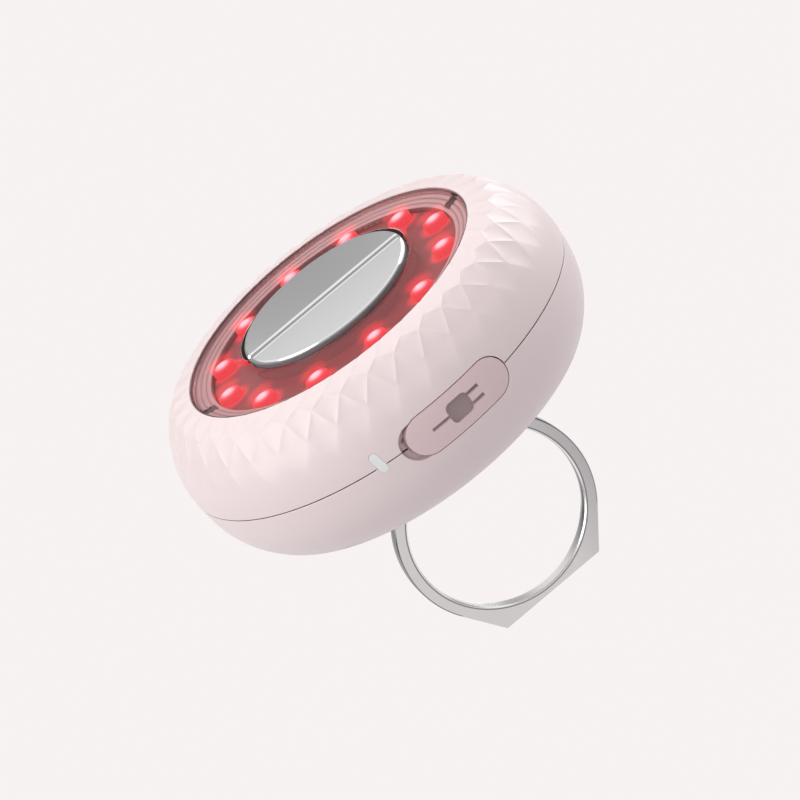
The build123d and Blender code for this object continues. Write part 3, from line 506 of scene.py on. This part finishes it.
def make_ring_metal():
    """Satin metal with a painted highlight line round the bore, painted dark contour lines along its edges,
    painted shade towards its +x end and a painted dark reflection along both walls.
    """
    material = metal("ring_satin", (214, 214, 214), 0.22, (1, 60, 1), 0.6, 0.03)
    tree = material.node_tree
    shader = tree.nodes["Principled BSDF"]
    place = tree.nodes.new("ShaderNodeTexCoord")
    split = tree.nodes.new("ShaderNodeSeparateXYZ")
    tree.links.new(place.outputs["Object"], split.inputs[0])
    x, y, z = (split.outputs[axis] for axis in "XYZ")
    drop = calc(tree, "SUBTRACT", z, ring_centre * MM)
    radius = length(tree, x, drop)
    away_from_hinge = span(tree, drop, ring_hinge_drop, 1.0, 0.0)
    outer = ring_bore + ring_band

    paint = shader.inputs["Base Color"].links[0].from_socket
    # Painted shade: the metal is darker towards the ring's +x end.
    paint = blend_colour(tree, span(tree, x, (4.0, 15.0)), paint, rgb(172, 172, 173))
    # Painted highlight: a light line on the bore wall and the face next to it, except near the hinge.
    beyond_highlight = calc(tree, "MAXIMUM", span(tree, radius, (ring_bore + 0.16, ring_bore + 0.22)),
                     span(tree, drop, ring_hinge_drop))
    paint = blend_colour(tree, beyond_highlight, rgb(244, 244, 244), paint)
    # Painted shade: dark contour lines along the bore edge and the outer edge, fading out towards the foot
    # and the hinge.
    for start, end, lowest in ((ring_bore + 0.22, ring_bore + 0.36, ring_lowest),
                               (outer - 0.14, outer, ring_foot_drop)):
        line = calc(tree, "MULTIPLY", span(tree, radius, (start - 0.04, start)),
                    span(tree, radius, (end, end + 0.04), 1.0, 0.0))
        above = calc(tree, "MULTIPLY", span(tree, drop, (lowest, lowest + 0.3), 0.0, 0.8), away_from_hinge)
        paint = blend_colour(tree, calc(tree, "MULTIPLY", line, above), paint, rgb(110, 110, 111))

    # Painted reflection: a dark band along the bore wall and the outer wall.
    dark_reflection = calc(tree, "MULTIPLY", span(tree, y, (-0.85, -0.55)), span(tree, y, (0.05, 0.50), 1.0, 0.0))
    bore_wall = calc(tree, "MULTIPLY", span(tree, radius, (ring_bore + 0.01, ring_bore + 0.05), 1.0, 0.0),
                     span(tree, x, (4.0, 9.5), 0.35, 1.0))
    outer_wall = calc(tree, "MULTIPLY", span(tree, radius, (outer - 0.05, outer - 0.01)),
                      span(tree, x, (-11.0, -7.0), 0.7, 0.0))
    dark_reflection = calc(tree, "MULTIPLY", dark_reflection, calc(tree, "MAXIMUM", bore_wall, outer_wall))
    dark_reflection = calc(tree, "MULTIPLY", dark_reflection, span(tree, drop, (-10.0, -7.0), 0.2, 1.0))
    paint = blend_colour(tree, dark_reflection, paint, rgb(58, 58, 59))
    tree.links.new(paint, shader.inputs["Base Color"])
    wear(material, ["finger_ring"])


shell_material = moulded("shell_satin", shell_colour, 0.40, 0.012, 0.10, 0.10, coat=0.25)
paint_scoop_shade(shell_material)
wear(shell_material, ["lower_shell"])
wear(moulded("button_gloss", (240, 220, 220), 0.25, 0.01, 0.3, 0.05, coat=0.3), ["power_button"])
cover_material = moulded("cover_rubber", (240, 214, 215), 0.50, 0.015, 0.08, 0.15)
wear(cover_material, ["port_cover", "cover_strap"])
wear(moulded("plug_rubber", (243, 224, 225), 0.46, 0.012, 0.09, 0.12), ["screw_plugs"])
wear(moulded("seal_silicone", (176, 156, 157), 0.6, 0.05), ["shell_seal"])
wear(moulded("frame_plastic", (150, 150, 152), 0.5, 0.03), ["inner_frame"])
wear(moulded("board_mask", (36, 92, 60), 0.35, 0.10, 0.5, 0.2, coat=0.4), ["diode_board", "main_board"])
wear(moulded("cable_film", (196, 132, 56), 0.3, 0.06), ["flat_cable"])
wear(moulded("chip_resin", (30, 30, 31), 0.55, 0.08), [
    "control_chip", "charging_chip", "boost_coil", "side_switch"])
wear(moulded("tongue_resin", (38, 36, 36), 0.4, 0.05), ["socket_tongue"])
wear(moulded("capacitor_ceramic", (150, 118, 88), 0.45, 0.08), ["capacitors"])
wear(moulded("plug_nylon", (226, 222, 208), 0.45, 0.02), ["battery_socket"])
wear(moulded("foam", (96, 96, 98), 0.85, 0.15, 0.6, 0.8), ["battery_foam"])
wear(moulded("lead_silicone", (176, 34, 34), 0.4, 0.04), ["battery_leads"])
wear(metal("screw_plate", (176, 176, 180), 0.25), [
    "electrode_screws", "frame_screws", "board_screws", "case_screws", "swivel_screw",
    "retaining_washer", "wave_washer", "charging_socket"])
wear(metal("contact_gold", (222, 178, 96), 0.2), ["contact_springs", "swivel_bush"])
wear(metal("battery_foil", (190, 191, 196), 0.3, (1, 8, 8), 1.0, 0.3), ["battery"])
make_ring_metal()
wear(metal("swivel_satin", (208, 208, 209), 0.24, (1, 60, 1), 0.6, 0.03), ["swivel_plate", "hinge_pin"])


def make_indicator_milk():
    """White, with a soft coat."""
    material, tree, shader, place = start_material("indicator_milk")
    vary_colour(tree, shader, noise(tree, place, 1.5), rgb(249, 251, 250), 0.02)
    shader.inputs["Roughness"].default_value = 0.3
    shader.inputs["Coat Weight"].default_value = 0.3
    wear(material, ["light_pipe", "indicator_diode"])


def make_bezel_paint():
    """Rose metallic paint under the lens, with painted shade in the troughs between its ridges, on its foot
    and in its two index notches, and darker at its flange.
    """
    material, tree, shader, place = start_material("bezel_rose")
    x, y, _, radius = polar(tree, place)
    paint = vary_colour(tree, shader, noise(tree, place, 3.0), rgb(216, 209, 211), 0.03)
    # Painted shade: the troughs between the ridges are darker, the crests keep the paint.
    ridge = calc(tree, "SUBTRACT", radius, bezel_inner * MM)
    ridge = calc(tree, "MULTIPLY", ridge, pi * bezel_ridges / (bezel_reach * MM))
    ridge = spread(tree, calc(tree, "ABSOLUTE", calc(tree, "SINE", ridge)), 0.15, 0.8)
    paint = blend_colour(tree, ridge, rgb(176, 158, 160), paint)
    flange = span(tree, radius, bezel_flange)
    paint = blend_colour(tree, flange, paint, rgb(176, 142, 144))
    # Painted shade: the bezel's foot, down towards the diodes, is dark.
    foot = span(tree, radius, (bezel_inner + 0.02, bezel_inner + 0.12))
    paint = blend_colour(tree, foot, rgb(112, 62, 64), paint)
    # Painted shade: the two index notches are painted dark across the bezel.
    notch_way = radians(notch_turn)
    notch_off = calc(tree, "ABSOLUTE", calc(tree, "SUBTRACT", calc(tree, "MULTIPLY", y, cos(notch_way)),
                                            calc(tree, "MULTIPLY", x, sin(notch_way))))
    notch = span(tree, notch_off, notch_half, 1.0, 0.0)
    notch = calc(tree, "MULTIPLY", notch, span(tree, radius, notch_start))
    paint = blend_colour(tree, notch, paint, rgb(52, 24, 26))
    tree.links.new(paint, shader.inputs["Base Color"])
    vary_roughness(tree, shader, noise(tree, place, 0.4), 0.28, 0.38)
    shader.inputs["Metallic"].default_value = 0.2
    return material


def diode_glow(tree, place, start, reach):
    """1 up to a start distance from the nearest diode's axis, falling to 0 over a reach, in millimetres."""
    x, y, _, radius = polar(tree, place)
    pitch = 2 * pi / diode_count
    angle = calc(tree, "SUBTRACT", calc(tree, "ARCTAN2", y, x), radians(diode_turn))
    steps = calc(tree, "ROUND", calc(tree, "DIVIDE", angle, pitch))
    off = calc(tree, "SUBTRACT", angle, calc(tree, "MULTIPLY", steps, pitch))
    along = calc(tree, "SUBTRACT", calc(tree, "MULTIPLY", radius, calc(tree, "COSINE", off)),
                 diode_circle_radius * MM)
    across = calc(tree, "MULTIPLY", radius, calc(tree, "SINE", off))
    away = length(tree, along, across)
    return spread(tree, away, start * MM, (start + reach) * MM, 1.0, 0.0, "SMOOTHERSTEP")


def make_reflector_paint():
    """Dark rose, with a painted red glow round each diode and a faint painted red glow all over."""
    material, tree, shader, place = start_material("reflector_rose")
    vary_colour(tree, shader, noise(tree, place, 2.0), rgb(132, 70, 72), 0.06)
    vary_roughness(tree, shader, noise(tree, place, 0.8), 0.28, 0.40)
    # Painted light: emission puts a red glow round each diode and a faint one on the rest of the plate.
    glow = blend_colour(tree, diode_glow(tree, place, 1.3, 1.7), rgb(98, 42, 44), rgb(244, 58, 68))
    shader.inputs["Specular IOR Level"].default_value = 0.2
    tree.links.new(glow, shader.inputs["Emission Color"])
    shader.inputs["Emission Strength"].default_value = 0.8
    wear(material, ["reflector_plate"])


def make_carrier_resin():
    """Black, with a painted red glow from the diodes where it shows under the lens."""
    material, tree, shader, place = start_material("carrier_black")
    vary_colour(tree, shader, noise(tree, place, 2.0), rgb(52, 34, 35), 0.08)
    vary_roughness(tree, shader, noise(tree, place, 0.8), 0.35, 0.48)
    _, _, z, radius = polar(tree, place)
    # Painted light: emission puts a red glow on the carrier's rim where it shows under the lens.
    rim = calc(tree, "MULTIPLY", span(tree, radius, carrier_rim), span(tree, z, carrier_lit_heights))
    glow = blend_colour(tree, rim, (0, 0, 0, 1), rgb(138, 64, 66))
    shader.inputs["Specular IOR Level"].default_value = 0.15
    tree.links.new(glow, shader.inputs["Emission Color"])
    shader.inputs["Emission Strength"].default_value = 0.8
    wear(material, ["electrode_carrier"])


def make_lens_glass():
    """Clear with a rose tint, an anti-glare coat, a frosted rim and a painted red glow on its underside over
    each diode.
    """
    material, tree, shader, place = start_material("lens_clear")
    _, _, z, radius = polar(tree, place)
    frosted = span(tree, radius, lens_frost)
    tint = vary_colour(tree, shader, noise(tree, place, 8.0), rgb(*lens_tint), 0.01)
    tree.links.new(blend_colour(tree, frosted, tint, rgb(176, 142, 142)), shader.inputs["Base Color"])
    tree.links.new(calc(tree, "SUBTRACT", 1.0, frosted), shader.inputs["Transmission Weight"])
    shader.inputs["IOR"].default_value = lens_index
    vary_roughness(tree, shader, noise(tree, place, 3.0), 0.01, 0.02)
    # Painted light: emission gives the lens's underside a red glow over each diode.
    under = span(tree, z, lens_underside, 1.0, 0.0)
    painted_glow_share = calc(tree, "MULTIPLY", under, diode_glow(tree, place, 0.5, 2.2))
    glow = blend_colour(tree, painted_glow_share, (0, 0, 0, 1), rgb(255, 30, 38))
    tree.links.new(glow, shader.inputs["Emission Color"])
    shader.inputs["Emission Strength"].default_value = 1.8
    path = tree.nodes.new("ShaderNodeLightPath")
    clear = tree.nodes.new("ShaderNodeBsdfTransparent")
    clear.inputs["Color"].default_value = rgb(*lens_tint)
    bare = tree.nodes.new("ShaderNodeBsdfRefraction")
    bare.inputs["Color"].default_value = rgb(*lens_tint)
    bare.inputs["IOR"].default_value = lens_index
    bare.inputs["Roughness"].default_value = 0.01
    coated = tree.nodes.new("ShaderNodeMixShader")
    tree.links.new(spread(tree, frosted, 0.0, 1.0, 0.75, 0.0), coated.inputs["Fac"])
    tree.links.new(shader.outputs[0], coated.inputs[1])
    tree.links.new(bare.outputs[0], coated.inputs[2])
    mix = tree.nodes.new("ShaderNodeMixShader")
    tree.links.new(path.outputs["Is Shadow Ray"], mix.inputs["Fac"])
    tree.links.new(coated.outputs[0], mix.inputs[1])
    tree.links.new(clear.outputs[0], mix.inputs[2])
    tree.links.new(mix.outputs[0], tree.nodes["Material Output"].inputs["Surface"])
    return material


make_indicator_milk()
make_reflector_paint()
make_carrier_resin()
bezel_material = make_bezel_paint()
lens_material = make_lens_glass()


# Pieces

def link(name, mesh, material, body, replaced=()):
    """A new piece with its material, body and the model nodes that it stands for."""
    piece = bpy.data.objects.new(name, mesh)
    bpy.context.scene.collection.objects.link(piece)
    mesh.materials.clear()
    mesh.materials.append(material)
    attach(piece, body)
    if replaced:
        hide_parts(*replaced)


def arc_centres():
    """Centres of the side, edge and crown arcs in the body's half section."""
    side = (body_radius - side_bend[0], equator_height)
    turn = radians(side_bend[1])
    step = side_bend[0] - edge_bend[0]
    edge = (side[0] + step * cos(turn), side[1] + step * sin(turn))
    turn = radians(side_bend[1] + edge_bend[1])
    step = edge_bend[0] - crown_radius
    crown = (edge[0] + step * cos(turn), edge[1] + step * sin(turn))
    return side, edge, crown


side_centre, edge_centre, crown_centre = arc_centres()
under_centre = (body_radius - under_bend_radius, equator_height)


def outline_point(turn):
    """Radius and height of the outline where its normal is turned up by this many degrees."""
    if turn <= 0:
        centre, radius = under_centre, under_bend_radius
    elif turn <= side_bend[1]:
        centre, radius = side_centre, side_bend[0]
    elif turn <= side_bend[1] + edge_bend[1]:
        centre, radius = edge_centre, edge_bend[0]
    else:
        centre, radius = crown_centre, crown_radius
    angle = radians(turn)
    return centre[0] + radius * cos(angle), centre[1] + radius * sin(angle)


def outline_offset(r, z):
    """Distance outside the outline, and the outward normal there."""
    if z < equator_height:
        centre, radius = under_centre, under_bend_radius
    else:
        centre, radius = side_centre, side_bend[0]
        if degrees(atan2(z - centre[1], r - centre[0])) > side_bend[1]:
            centre, radius = edge_centre, edge_bend[0]
            if degrees(atan2(z - centre[1], r - centre[0])) > side_bend[1] + edge_bend[1]:
                centre, radius = crown_centre, crown_radius
    away_r, away_z = r - centre[0], z - centre[1]
    away = hypot(away_r, away_z)
    return away - radius, away_r / away, away_z / away


def clamp(value):
    return min(1.0, max(0.0, value))


def ease(value):
    value = clamp(value)
    return value * value * (3 - 2 * value)


def outline_corner(azimuth, turn):
    """Point of the skin at an azimuth, where the outline's normal is turned up by this many degrees."""
    r, z = outline_point(turn)
    r -= skin_inset * cos(radians(turn))
    z -= skin_inset * sin(radians(turn))
    return Vector((r * cos(radians(azimuth)), r * sin(radians(azimuth)), z))


def chord_depth(first, last, turn):
    """How far the straight line between two rows lies inside the outline, at a place between them."""
    start, end = Vector(outline_point(facet_rows[first])), Vector(outline_point(facet_rows[last]))
    across = Vector((end.y - start.y, start.x - end.x)).normalized()
    normal = Vector((cos(radians(turn)), sin(radians(turn))))
    return (Vector(outline_point(turn)) - start).dot(across) / normal.dot(across)


facet_turns = range(ceil(facet_rows[-1]), int(facet_rows[0]))
deepest_chord = {diamond: max(chord_depth(diamond, diamond + 2, turn) for turn in facet_turns)
                 for diamond in range(last_band)}


def facet_point(scale, share, band, down):
    """Point in a band of facets, at a share of the scale's width and of the band's height.

    Shares are counted from the ridge on the left. Each band holds the lower halves of one row of diamonds,
    which hang from its top, and the upper halves of the next, which stand on its bottom.
    """
    pitch = 360 / scale_count
    upper, lower = facet_rows[band], facet_rows[band + 1]
    azimuth = ridge_azimuth + (scale + share + (last_band - band - down) / 2) * pitch
    turn = upper + (lower - upper) * down
    if share >= down:
        diamond, across = band - 1, (share - down) / max(1 - down, 1e-6)
    else:
        diamond, across = band, share / down
    depth = 0
    if diamond in deepest_chord:
        depth = facet_depth * chord_depth(diamond, diamond + 2, turn) / deepest_chord[diamond]
        depth *= 4 * across * (1 - across)
    if diamond == last_band - 1 and band == last_band:
        depth *= 1 - ease(down)
    point = outline_corner(azimuth, turn)
    normal = Vector((cos(radians(turn)) * cos(radians(azimuth)), cos(radians(turn)) * sin(radians(azimuth)),
                     sin(radians(turn))))
    return point - depth * normal


def ring_row(r, z, columns):
    """Points round the body's axis, or one point on it."""
    return [Vector((r * cos(2 * pi * i / columns), r * sin(2 * pi * i / columns), z)) * MM
            for i in range(columns if r else 1)]


def to_mesh(shape, name):
    """A finished mesh with its faces turned outwards."""
    bmesh.ops.recalc_face_normals(shape, faces=shape.faces)
    made = bpy.data.meshes.new(name)
    shape.to_mesh(made)
    shape.free()
    return made


def revolve_rows(rows, columns):
    """Closed mesh from rows of ring points, with a fan at each end."""
    mesh = bmesh.new()
    rings = [[mesh.verts.new(point) for point in row] for row in rows]
    for below, above in zip(rings, rings[1:]):
        for i in range(columns):
            j = (i + 1) % columns
            if len(below) == 1:
                mesh.faces.new((below[0], above[j], above[i]))
            elif len(above) == 1:
                mesh.faces.new((below[i], below[j], above[0]))
            else:
                mesh.faces.new((below[i], below[j], above[i]))
                mesh.faces.new((below[j], above[j], above[i]))
    return mesh


def make_skin_solid():
    """Solid with the faceted outer surface, which the upper shell is cut to."""
    pitch = 360 / scale_count
    columns = scale_count * columns_per_scale
    places = [divmod(column, columns_per_scale) for column in range(columns)]
    places = [(scale, sub / columns_per_scale) for scale, sub in places]
    seam_turn = degrees(asin((seam_height - equator_height) / under_bend_radius))
    rows = [[Vector((0, 0, skin_bottom))]]

    def plain_row(turn, shift, radius=None, height=None):
        row = []
        for scale, share in places:
            point = outline_corner(ridge_azimuth + (scale + share + shift) * pitch, turn)
            if radius:
                point = Vector((point.x, point.y, 0)).normalized() * radius + Vector((0, 0, height))
            row.append(point)
        return row

    base_radius = body_radius - skin_base_inset
    rows.append(plain_row(seam_turn, shift_below, base_radius, skin_bottom))
    rows.append(plain_row(seam_turn, shift_below, base_radius, seam_height - 0.01))
    for turn in (seam_turn, *plain_turns_below):
        rows.append(plain_row(turn, shift_below))
    for band in range(last_band, -1, -1):
        steps = facet_steps[band]
        first = steps if band == last_band else steps - 1
        for step in range(first, -1, -1):
            rows.append([facet_point(scale, share, band, step / steps) for scale, share in places])
    for turn in plain_turns_above:
        rows.append(plain_row(turn, shift_above))
    rows.append([Vector((0, 0, skin_top))])
    return revolve_rows([[point * MM for point in row] for row in rows], columns)


def cad_copy(node):
    """Welded copy of a model node's mesh."""
    mesh = bmesh.new()
    mesh.from_mesh(nodes[node].data)
    bmesh.ops.remove_doubles(mesh, verts=mesh.verts, dist=1e-7)
    bmesh.ops.dissolve_degenerate(mesh, dist=1e-7, edges=mesh.edges)
    return mesh


def keep_inside(shape, solid, name):
    """The part of a mesh inside a closed solid."""
    meshes = [to_mesh(source, name) for source in (shape, solid)]
    whole = bpy.data.objects.new(name + "_whole", meshes[0])
    cutter = bpy.data.objects.new(name + "_solid", meshes[1])
    for thing in (whole, cutter):
        bpy.context.scene.collection.objects.link(thing)
    cut = whole.modifiers.new("cut", "BOOLEAN")
    cut.operation = "INTERSECT"
    cut.solver = "EXACT"
    cut.object = cutter
    bpy.context.view_layer.update()
    evaluated = whole.evaluated_get(bpy.context.evaluated_depsgraph_get())
    result = bpy.data.meshes.new_from_object(evaluated)
    bpy.data.objects.remove(whole)
    bpy.data.objects.remove(cutter)
    return result


def smooth_by_angle(mesh, angle):
    for polygon in mesh.polygons:
        polygon.use_smooth = True
    mesh.set_sharp_from_angle(angle=radians(angle))


def make_upper_shell():
    """The upper shell, pushed out a little and then cut to the faceted skin."""
    shell = cad_copy("upper_shell")
    for vertex in shell.verts:
        r, z = hypot(vertex.co.x, vertex.co.y) / MM, vertex.co.z / MM
        away, normal_r, normal_z = outline_offset(r, z)
        if abs(away) < skin_reach and z > skin_start:
            scale = (r + skin_push * normal_r) / r
            vertex.co.x *= scale
            vertex.co.y *= scale
            vertex.co.z += skin_push * normal_z * MM
    mesh = keep_inside(shell, make_skin_solid(), "upper_shell_skin")
    smooth_by_angle(mesh, 4)
    link("upper_shell_faceted", mesh, shell_material, "body", ["upper_shell"])


def diode_shapes(profile, segments):
    """The same round shape at every diode, from its radii and heights above the board."""
    mesh = bmesh.new()
    for number in range(diode_count):
        angle = radians(diode_turn + number * 360 / diode_count)
        centre = Vector((diode_circle_radius * cos(angle), diode_circle_radius * sin(angle), diode_board_top))
        loops = []
        for r, z in profile:
            points = [Vector((r * cos(2 * pi * i / segments), r * sin(2 * pi * i / segments), z))
                      for i in range(segments if r else 1)]
            loops.append([mesh.verts.new((centre + point) * MM) for point in points])
        for below, above in zip(loops, loops[1:]):
            for i in range(segments):
                j = (i + 1) % segments
                places = ((below, i), (below, j), (above, j), (above, i))
                corners = [loop[k % len(loop)] for loop, k in places]
                mesh.faces.new(list(dict.fromkeys(corners)))
    made = to_mesh(mesh, "diode")
    smooth_by_angle(made, 40)
    return made


def make_diodes():
    """Twelve lit lenses, pink in the middle and red at the rim."""
    sphere = (diode_dome_radius**2 + diode_dome_height**2) / (2 * diode_dome_height)
    profile = [(0, diode_foot_gap), (diode_base_radius, diode_foot_gap),
               (diode_base_radius, diode_base_height)]
    for step in range(diode_dome_steps):
        r = diode_dome_radius * (1 - step / diode_dome_steps)
        profile.append((r, diode_base_height + sqrt(sphere**2 - r**2) - (sphere - diode_dome_height)))
    profile.append((0, diode_base_height + diode_dome_height))
    material, tree, shader, place = start_material("diode_lens")
    vary_colour(tree, shader, noise(tree, place, 1.0), rgb(60, 8, 10), 0.05)
    vary_roughness(tree, shader, noise(tree, place, 0.5), 0.25, 0.35)
    glow = blend_colour(tree, diode_glow(tree, place, 0.9, 0.62), rgb(232, 52, 62), rgb(255, 60, 72))
    glow = blend_colour(tree, diode_glow(tree, place, 0.6, 0.8), glow, rgb(255, 112, 126))
    glow = blend_colour(tree, diode_glow(tree, place, 0.25, 1.0), glow, rgb(255, 230, 248))
    tree.links.new(glow, shader.inputs["Emission Color"])
    shader.inputs["Emission Strength"].default_value = 1.08
    shader.inputs["Specular IOR Level"].default_value = 0.1
    link("diode_domes", diode_shapes(profile, 40), material, "body", ["red_diodes"])


def height_solid(reach, lows, bottom, height):
    """Closed solid over a square, whose top height is a function of x and y, in millimetres."""
    lines_x = [-reach + 2 * reach * i / solid_steps for i in range(solid_steps + 1)]
    mesh = bmesh.new()
    tops = [[mesh.verts.new((x * MM, y * MM, height(x, y) * MM)) for y in lows] for x in lines_x]
    under = [[mesh.verts.new((x * MM, y * MM, bottom * MM)) for y in lows] for x in lines_x]
    last_x, last_y = len(lines_x) - 1, len(lows) - 1
    for i in range(last_x):
        for j in range(last_y):
            mesh.faces.new((tops[i][j], tops[i + 1][j], tops[i + 1][j + 1], tops[i][j + 1]))
            mesh.faces.new((under[i][j], under[i][j + 1], under[i + 1][j + 1], under[i + 1][j]))
    for i in range(last_x):
        for j in (0, last_y):
            mesh.faces.new((tops[i][j], under[i][j], under[i + 1][j], tops[i + 1][j]))
    for j in range(last_y):
        for i in (0, last_x):
            mesh.faces.new((tops[i][j], tops[i][j + 1], under[i][j + 1], under[i][j]))
    return mesh


def make_lens():
    """The lens, whose dome falls softly at the hole, so that the side of the electrodes shows above it."""
    top, under = [], []
    for step in range(lens_steps + 1):
        share = step / lens_steps
        r = lens_reach - lens_edge_drop + (lens_hole - lens_reach + lens_edge_drop) * share
        level = lens_rim + lens_rise * share + lens_bow * 4 * share * (1 - share)
        inward = max(0.0, (lens_fall_start - r) / (lens_fall_start - lens_hole))
        top.append((r, level - lens_fall * inward**2))
        under.append((r, level - lens_thickness))
    edge = [(lens_reach, lens_rim - lens_thickness), (lens_reach, lens_rim - lens_edge_drop)]
    mesh = bmesh.new()
    rings = [[mesh.verts.new(point) for point in ring_row(r, z, lens_columns)]
             for r, z in under[::-1] + edge + top]
    for here, there in zip(rings, rings[1:] + rings[:1]):
        for i in range(lens_columns):
            j = (i + 1) % lens_columns
            mesh.faces.new((here[i], here[j], there[j], there[i]))
    made = to_mesh(mesh, "lens_dome")
    smooth_by_angle(made, 20)
    link("lens_dome", made, lens_material, "body", ["lens_window"])


def make_bezel():
    """The bezel ring, with its ridges cut down towards the diodes like a funnel."""
    profile = [(0, bezel_cut_bottom), (bezel_cut_reach, bezel_cut_bottom), (bezel_cut_reach, bezel_cut_top),
               (bezel_inner + bezel_reach + 0.01, bezel_cut_top)]
    for step in range(bezel_steps + 1):
        share = step / bezel_steps
        rise = bezel_ridge_rise * abs(sin(pi * bezel_ridges * share)) ** 0.8
        profile.append((bezel_inner + bezel_reach * (1 - share), bezel_top - bezel_fall * share + rise))
    profile += [(bezel_inner - 0.5, bezel_top - bezel_fall), (0, bezel_top - bezel_fall)]
    rows = [ring_row(r, z, bezel_columns) for r, z in profile]
    mesh = keep_inside(cad_copy("bezel_ring"), revolve_rows(rows, bezel_columns), "bezel_funnel")
    smooth_by_angle(mesh, 32)
    link("bezel_funnel", mesh, bezel_material, "body", ["bezel_ring"])


def electrode_fall(x, y):
    """How far the crowned top lies below its middle."""
    return electrode_crown * (x * x + y * y) / electrode_radius**2


def front_height(x, y):
    inward = max(0.0, -y)
    start, end = ridge_lines
    ridge = ridge_rise * clamp((end - inward) / ridge_flank) * clamp((inward - start) / ridge_flank)
    lip = lip_slope * max(0.0, start - inward)
    slope = front_slope * max(0.0, inward - end)
    return electrode_top - front_drop - electrode_fall(x, y) - slope + ridge - lip


def rear_height(x, y):
    inward = max(0.0, y)
    slope = rear_slope - rear_slope_fall * (x - rear_slope_middle) ** 2
    return electrode_top - rear_drop - electrode_fall(x, y) - slope * max(0.0, inward - rear_edge)


def make_electrodes():
    """The two polished halves, with tops that are crowned a little and bevelled along the gap."""
    lows = [-electrode_reach, -12.0, -11.6] + [-11 + 0.5 * i for i in range(21)]
    lows = sorted({round(y, 3) for y in lows} | set(electrode_lines))
    for side, node, height in ((-1, "front_electrode", front_height), (1, "rear_electrode", rear_height)):
        material, tree, shader, place = start_material(node + "_chrome")
        vary_colour(tree, shader, noise(tree, place, 6.0), rgb(236, 237, 238), 0.01)
        vary_roughness(tree, shader, noise(tree, place, 0.35, 4.0, (1, 12, 1)), 0.08, 0.14)
        add_bump(tree, shader, noise(tree, place, 0.35, 3.0, (1, 12, 1)), 0.05, 0.001)
        side_wall = span(tree, polar(tree, place)[3], electrode_side)
        bareness = calc(tree, "SUBTRACT", 1.0, calc(tree, "MULTIPLY", side_wall, 0.7))
        tree.links.new(bareness, shader.inputs["Metallic"])
        paint = shader.inputs["Base Color"].links[0].from_socket
        tree.links.new(blend_colour(tree, side_wall, paint, rgb(150, 150, 152)), shader.inputs["Base Color"])
        across = sorted(side * -y for y in lows)
        solid = height_solid(electrode_reach, across, electrode_cut_bottom, height)
        mesh = keep_inside(cad_copy(node), solid, node + "_polished")
        smooth_by_angle(mesh, 7)
        link(node + "_polished", mesh, material, "body", [node])


def side_point(distance, across, height):
    """Point on a plane that faces outwards from the port's side."""
    x, y = turned(across, -distance, port_turn)
    return (x * MM, y * MM, height * MM)


def make_sign():
    """Thin darker sheet of painted shade on the floor of the sunk plug sign of the port cover."""
    mesh = bmesh.new()
    level = sign_floor + 0.02

    def plate(outline):
        lower = [mesh.verts.new(side_point(level - sign_thickness, a, h)) for a, h in outline]
        upper = [mesh.verts.new(side_point(level, a, h)) for a, h in outline]
        count = len(outline)
        mesh.faces.new(upper)
        mesh.faces.new(list(reversed(lower)))
        for i in range(count):
            j = (i + 1) % count
            mesh.faces.new((lower[i], lower[j], upper[j], upper[i]))

    half_a, half_h = sign_body[0] / 2, sign_body[1] / 2
    corners = []
    for corner, (sign_a, sign_h) in enumerate(((1, 1), (-1, 1), (-1, -1), (1, -1))):
        for step in range(6):
            angle = radians(90 * corner + 18 * step)
            corners.append((sign_a * (half_a - sign_body_corner) + sign_body_corner * cos(angle),
                            sign_h * (half_h - sign_body_corner) + sign_body_corner * sin(angle)))
    plate(corners)

    def bar(start, end, middle, thickness):
        plate([(start, middle - thickness / 2), (end, middle - thickness / 2),
               (end, middle + thickness / 2), (start, middle + thickness / 2)])

    bar(-half_a - sign_cord[0], -half_a, 0, sign_cord[1])
    for row in (-1, 1):
        bar(half_a, half_a + sign_prong[0], row * sign_prong_pitch / 2, sign_prong[1])
    made = to_mesh(mesh, "port_sign")
    # Painted shade: a darker sheet on the floor of the sunk sign.
    material = moulded("sign_shade", (170, 150, 151), 0.5, 0.04, 0.1, 0.2)
    link("port_sign", made, material, "cover")


def make_seam():
    """Dark strip of painted shade in the groove between the shells, left out where other parts cross it."""
    outer, inner = body_radius - seam_outer_inset, body_radius - seam_inner_inset
    low, high = seam_low, seam_height - 0.005
    crossed = sorted(seam_crossings)
    arcs = []
    for number, (middle, half) in enumerate(crossed):
        after, after_half = crossed[(number + 1) % len(crossed)]
        if number + 1 == len(crossed):
            after += 360
        arcs.append((middle + half, after - after_half))
    mesh = bmesh.new()
    for start, end in arcs:
        count = max(2, round(end - start))
        rings = []
        for step in range(count + 1):
            angle = radians(start + (end - start) * step / count)
            rings.append([mesh.verts.new((r * MM * cos(angle), r * MM * sin(angle), z * MM))
                          for r, z in ((outer, low), (outer, high), (inner, high), (inner, low))])
        for here, there in zip(rings, rings[1:]):
            for i in range(4):
                j = (i + 1) % 4
                mesh.faces.new((here[i], here[j], there[j], there[i]))
        mesh.faces.new(rings[0])
        mesh.faces.new(list(reversed(rings[-1])))
    made = to_mesh(mesh, "seam_shade_strip")
    smooth_by_angle(made, 30)
    # Painted shade: a dark strip set into the groove between the shells.
    link("seam_shade_strip", made, moulded("seam_shade", (48, 35, 37), 0.6, 0.05), "body")


make_upper_shell()
make_lens()
make_bezel()
make_diodes()
make_electrodes()
make_sign()
make_seam()
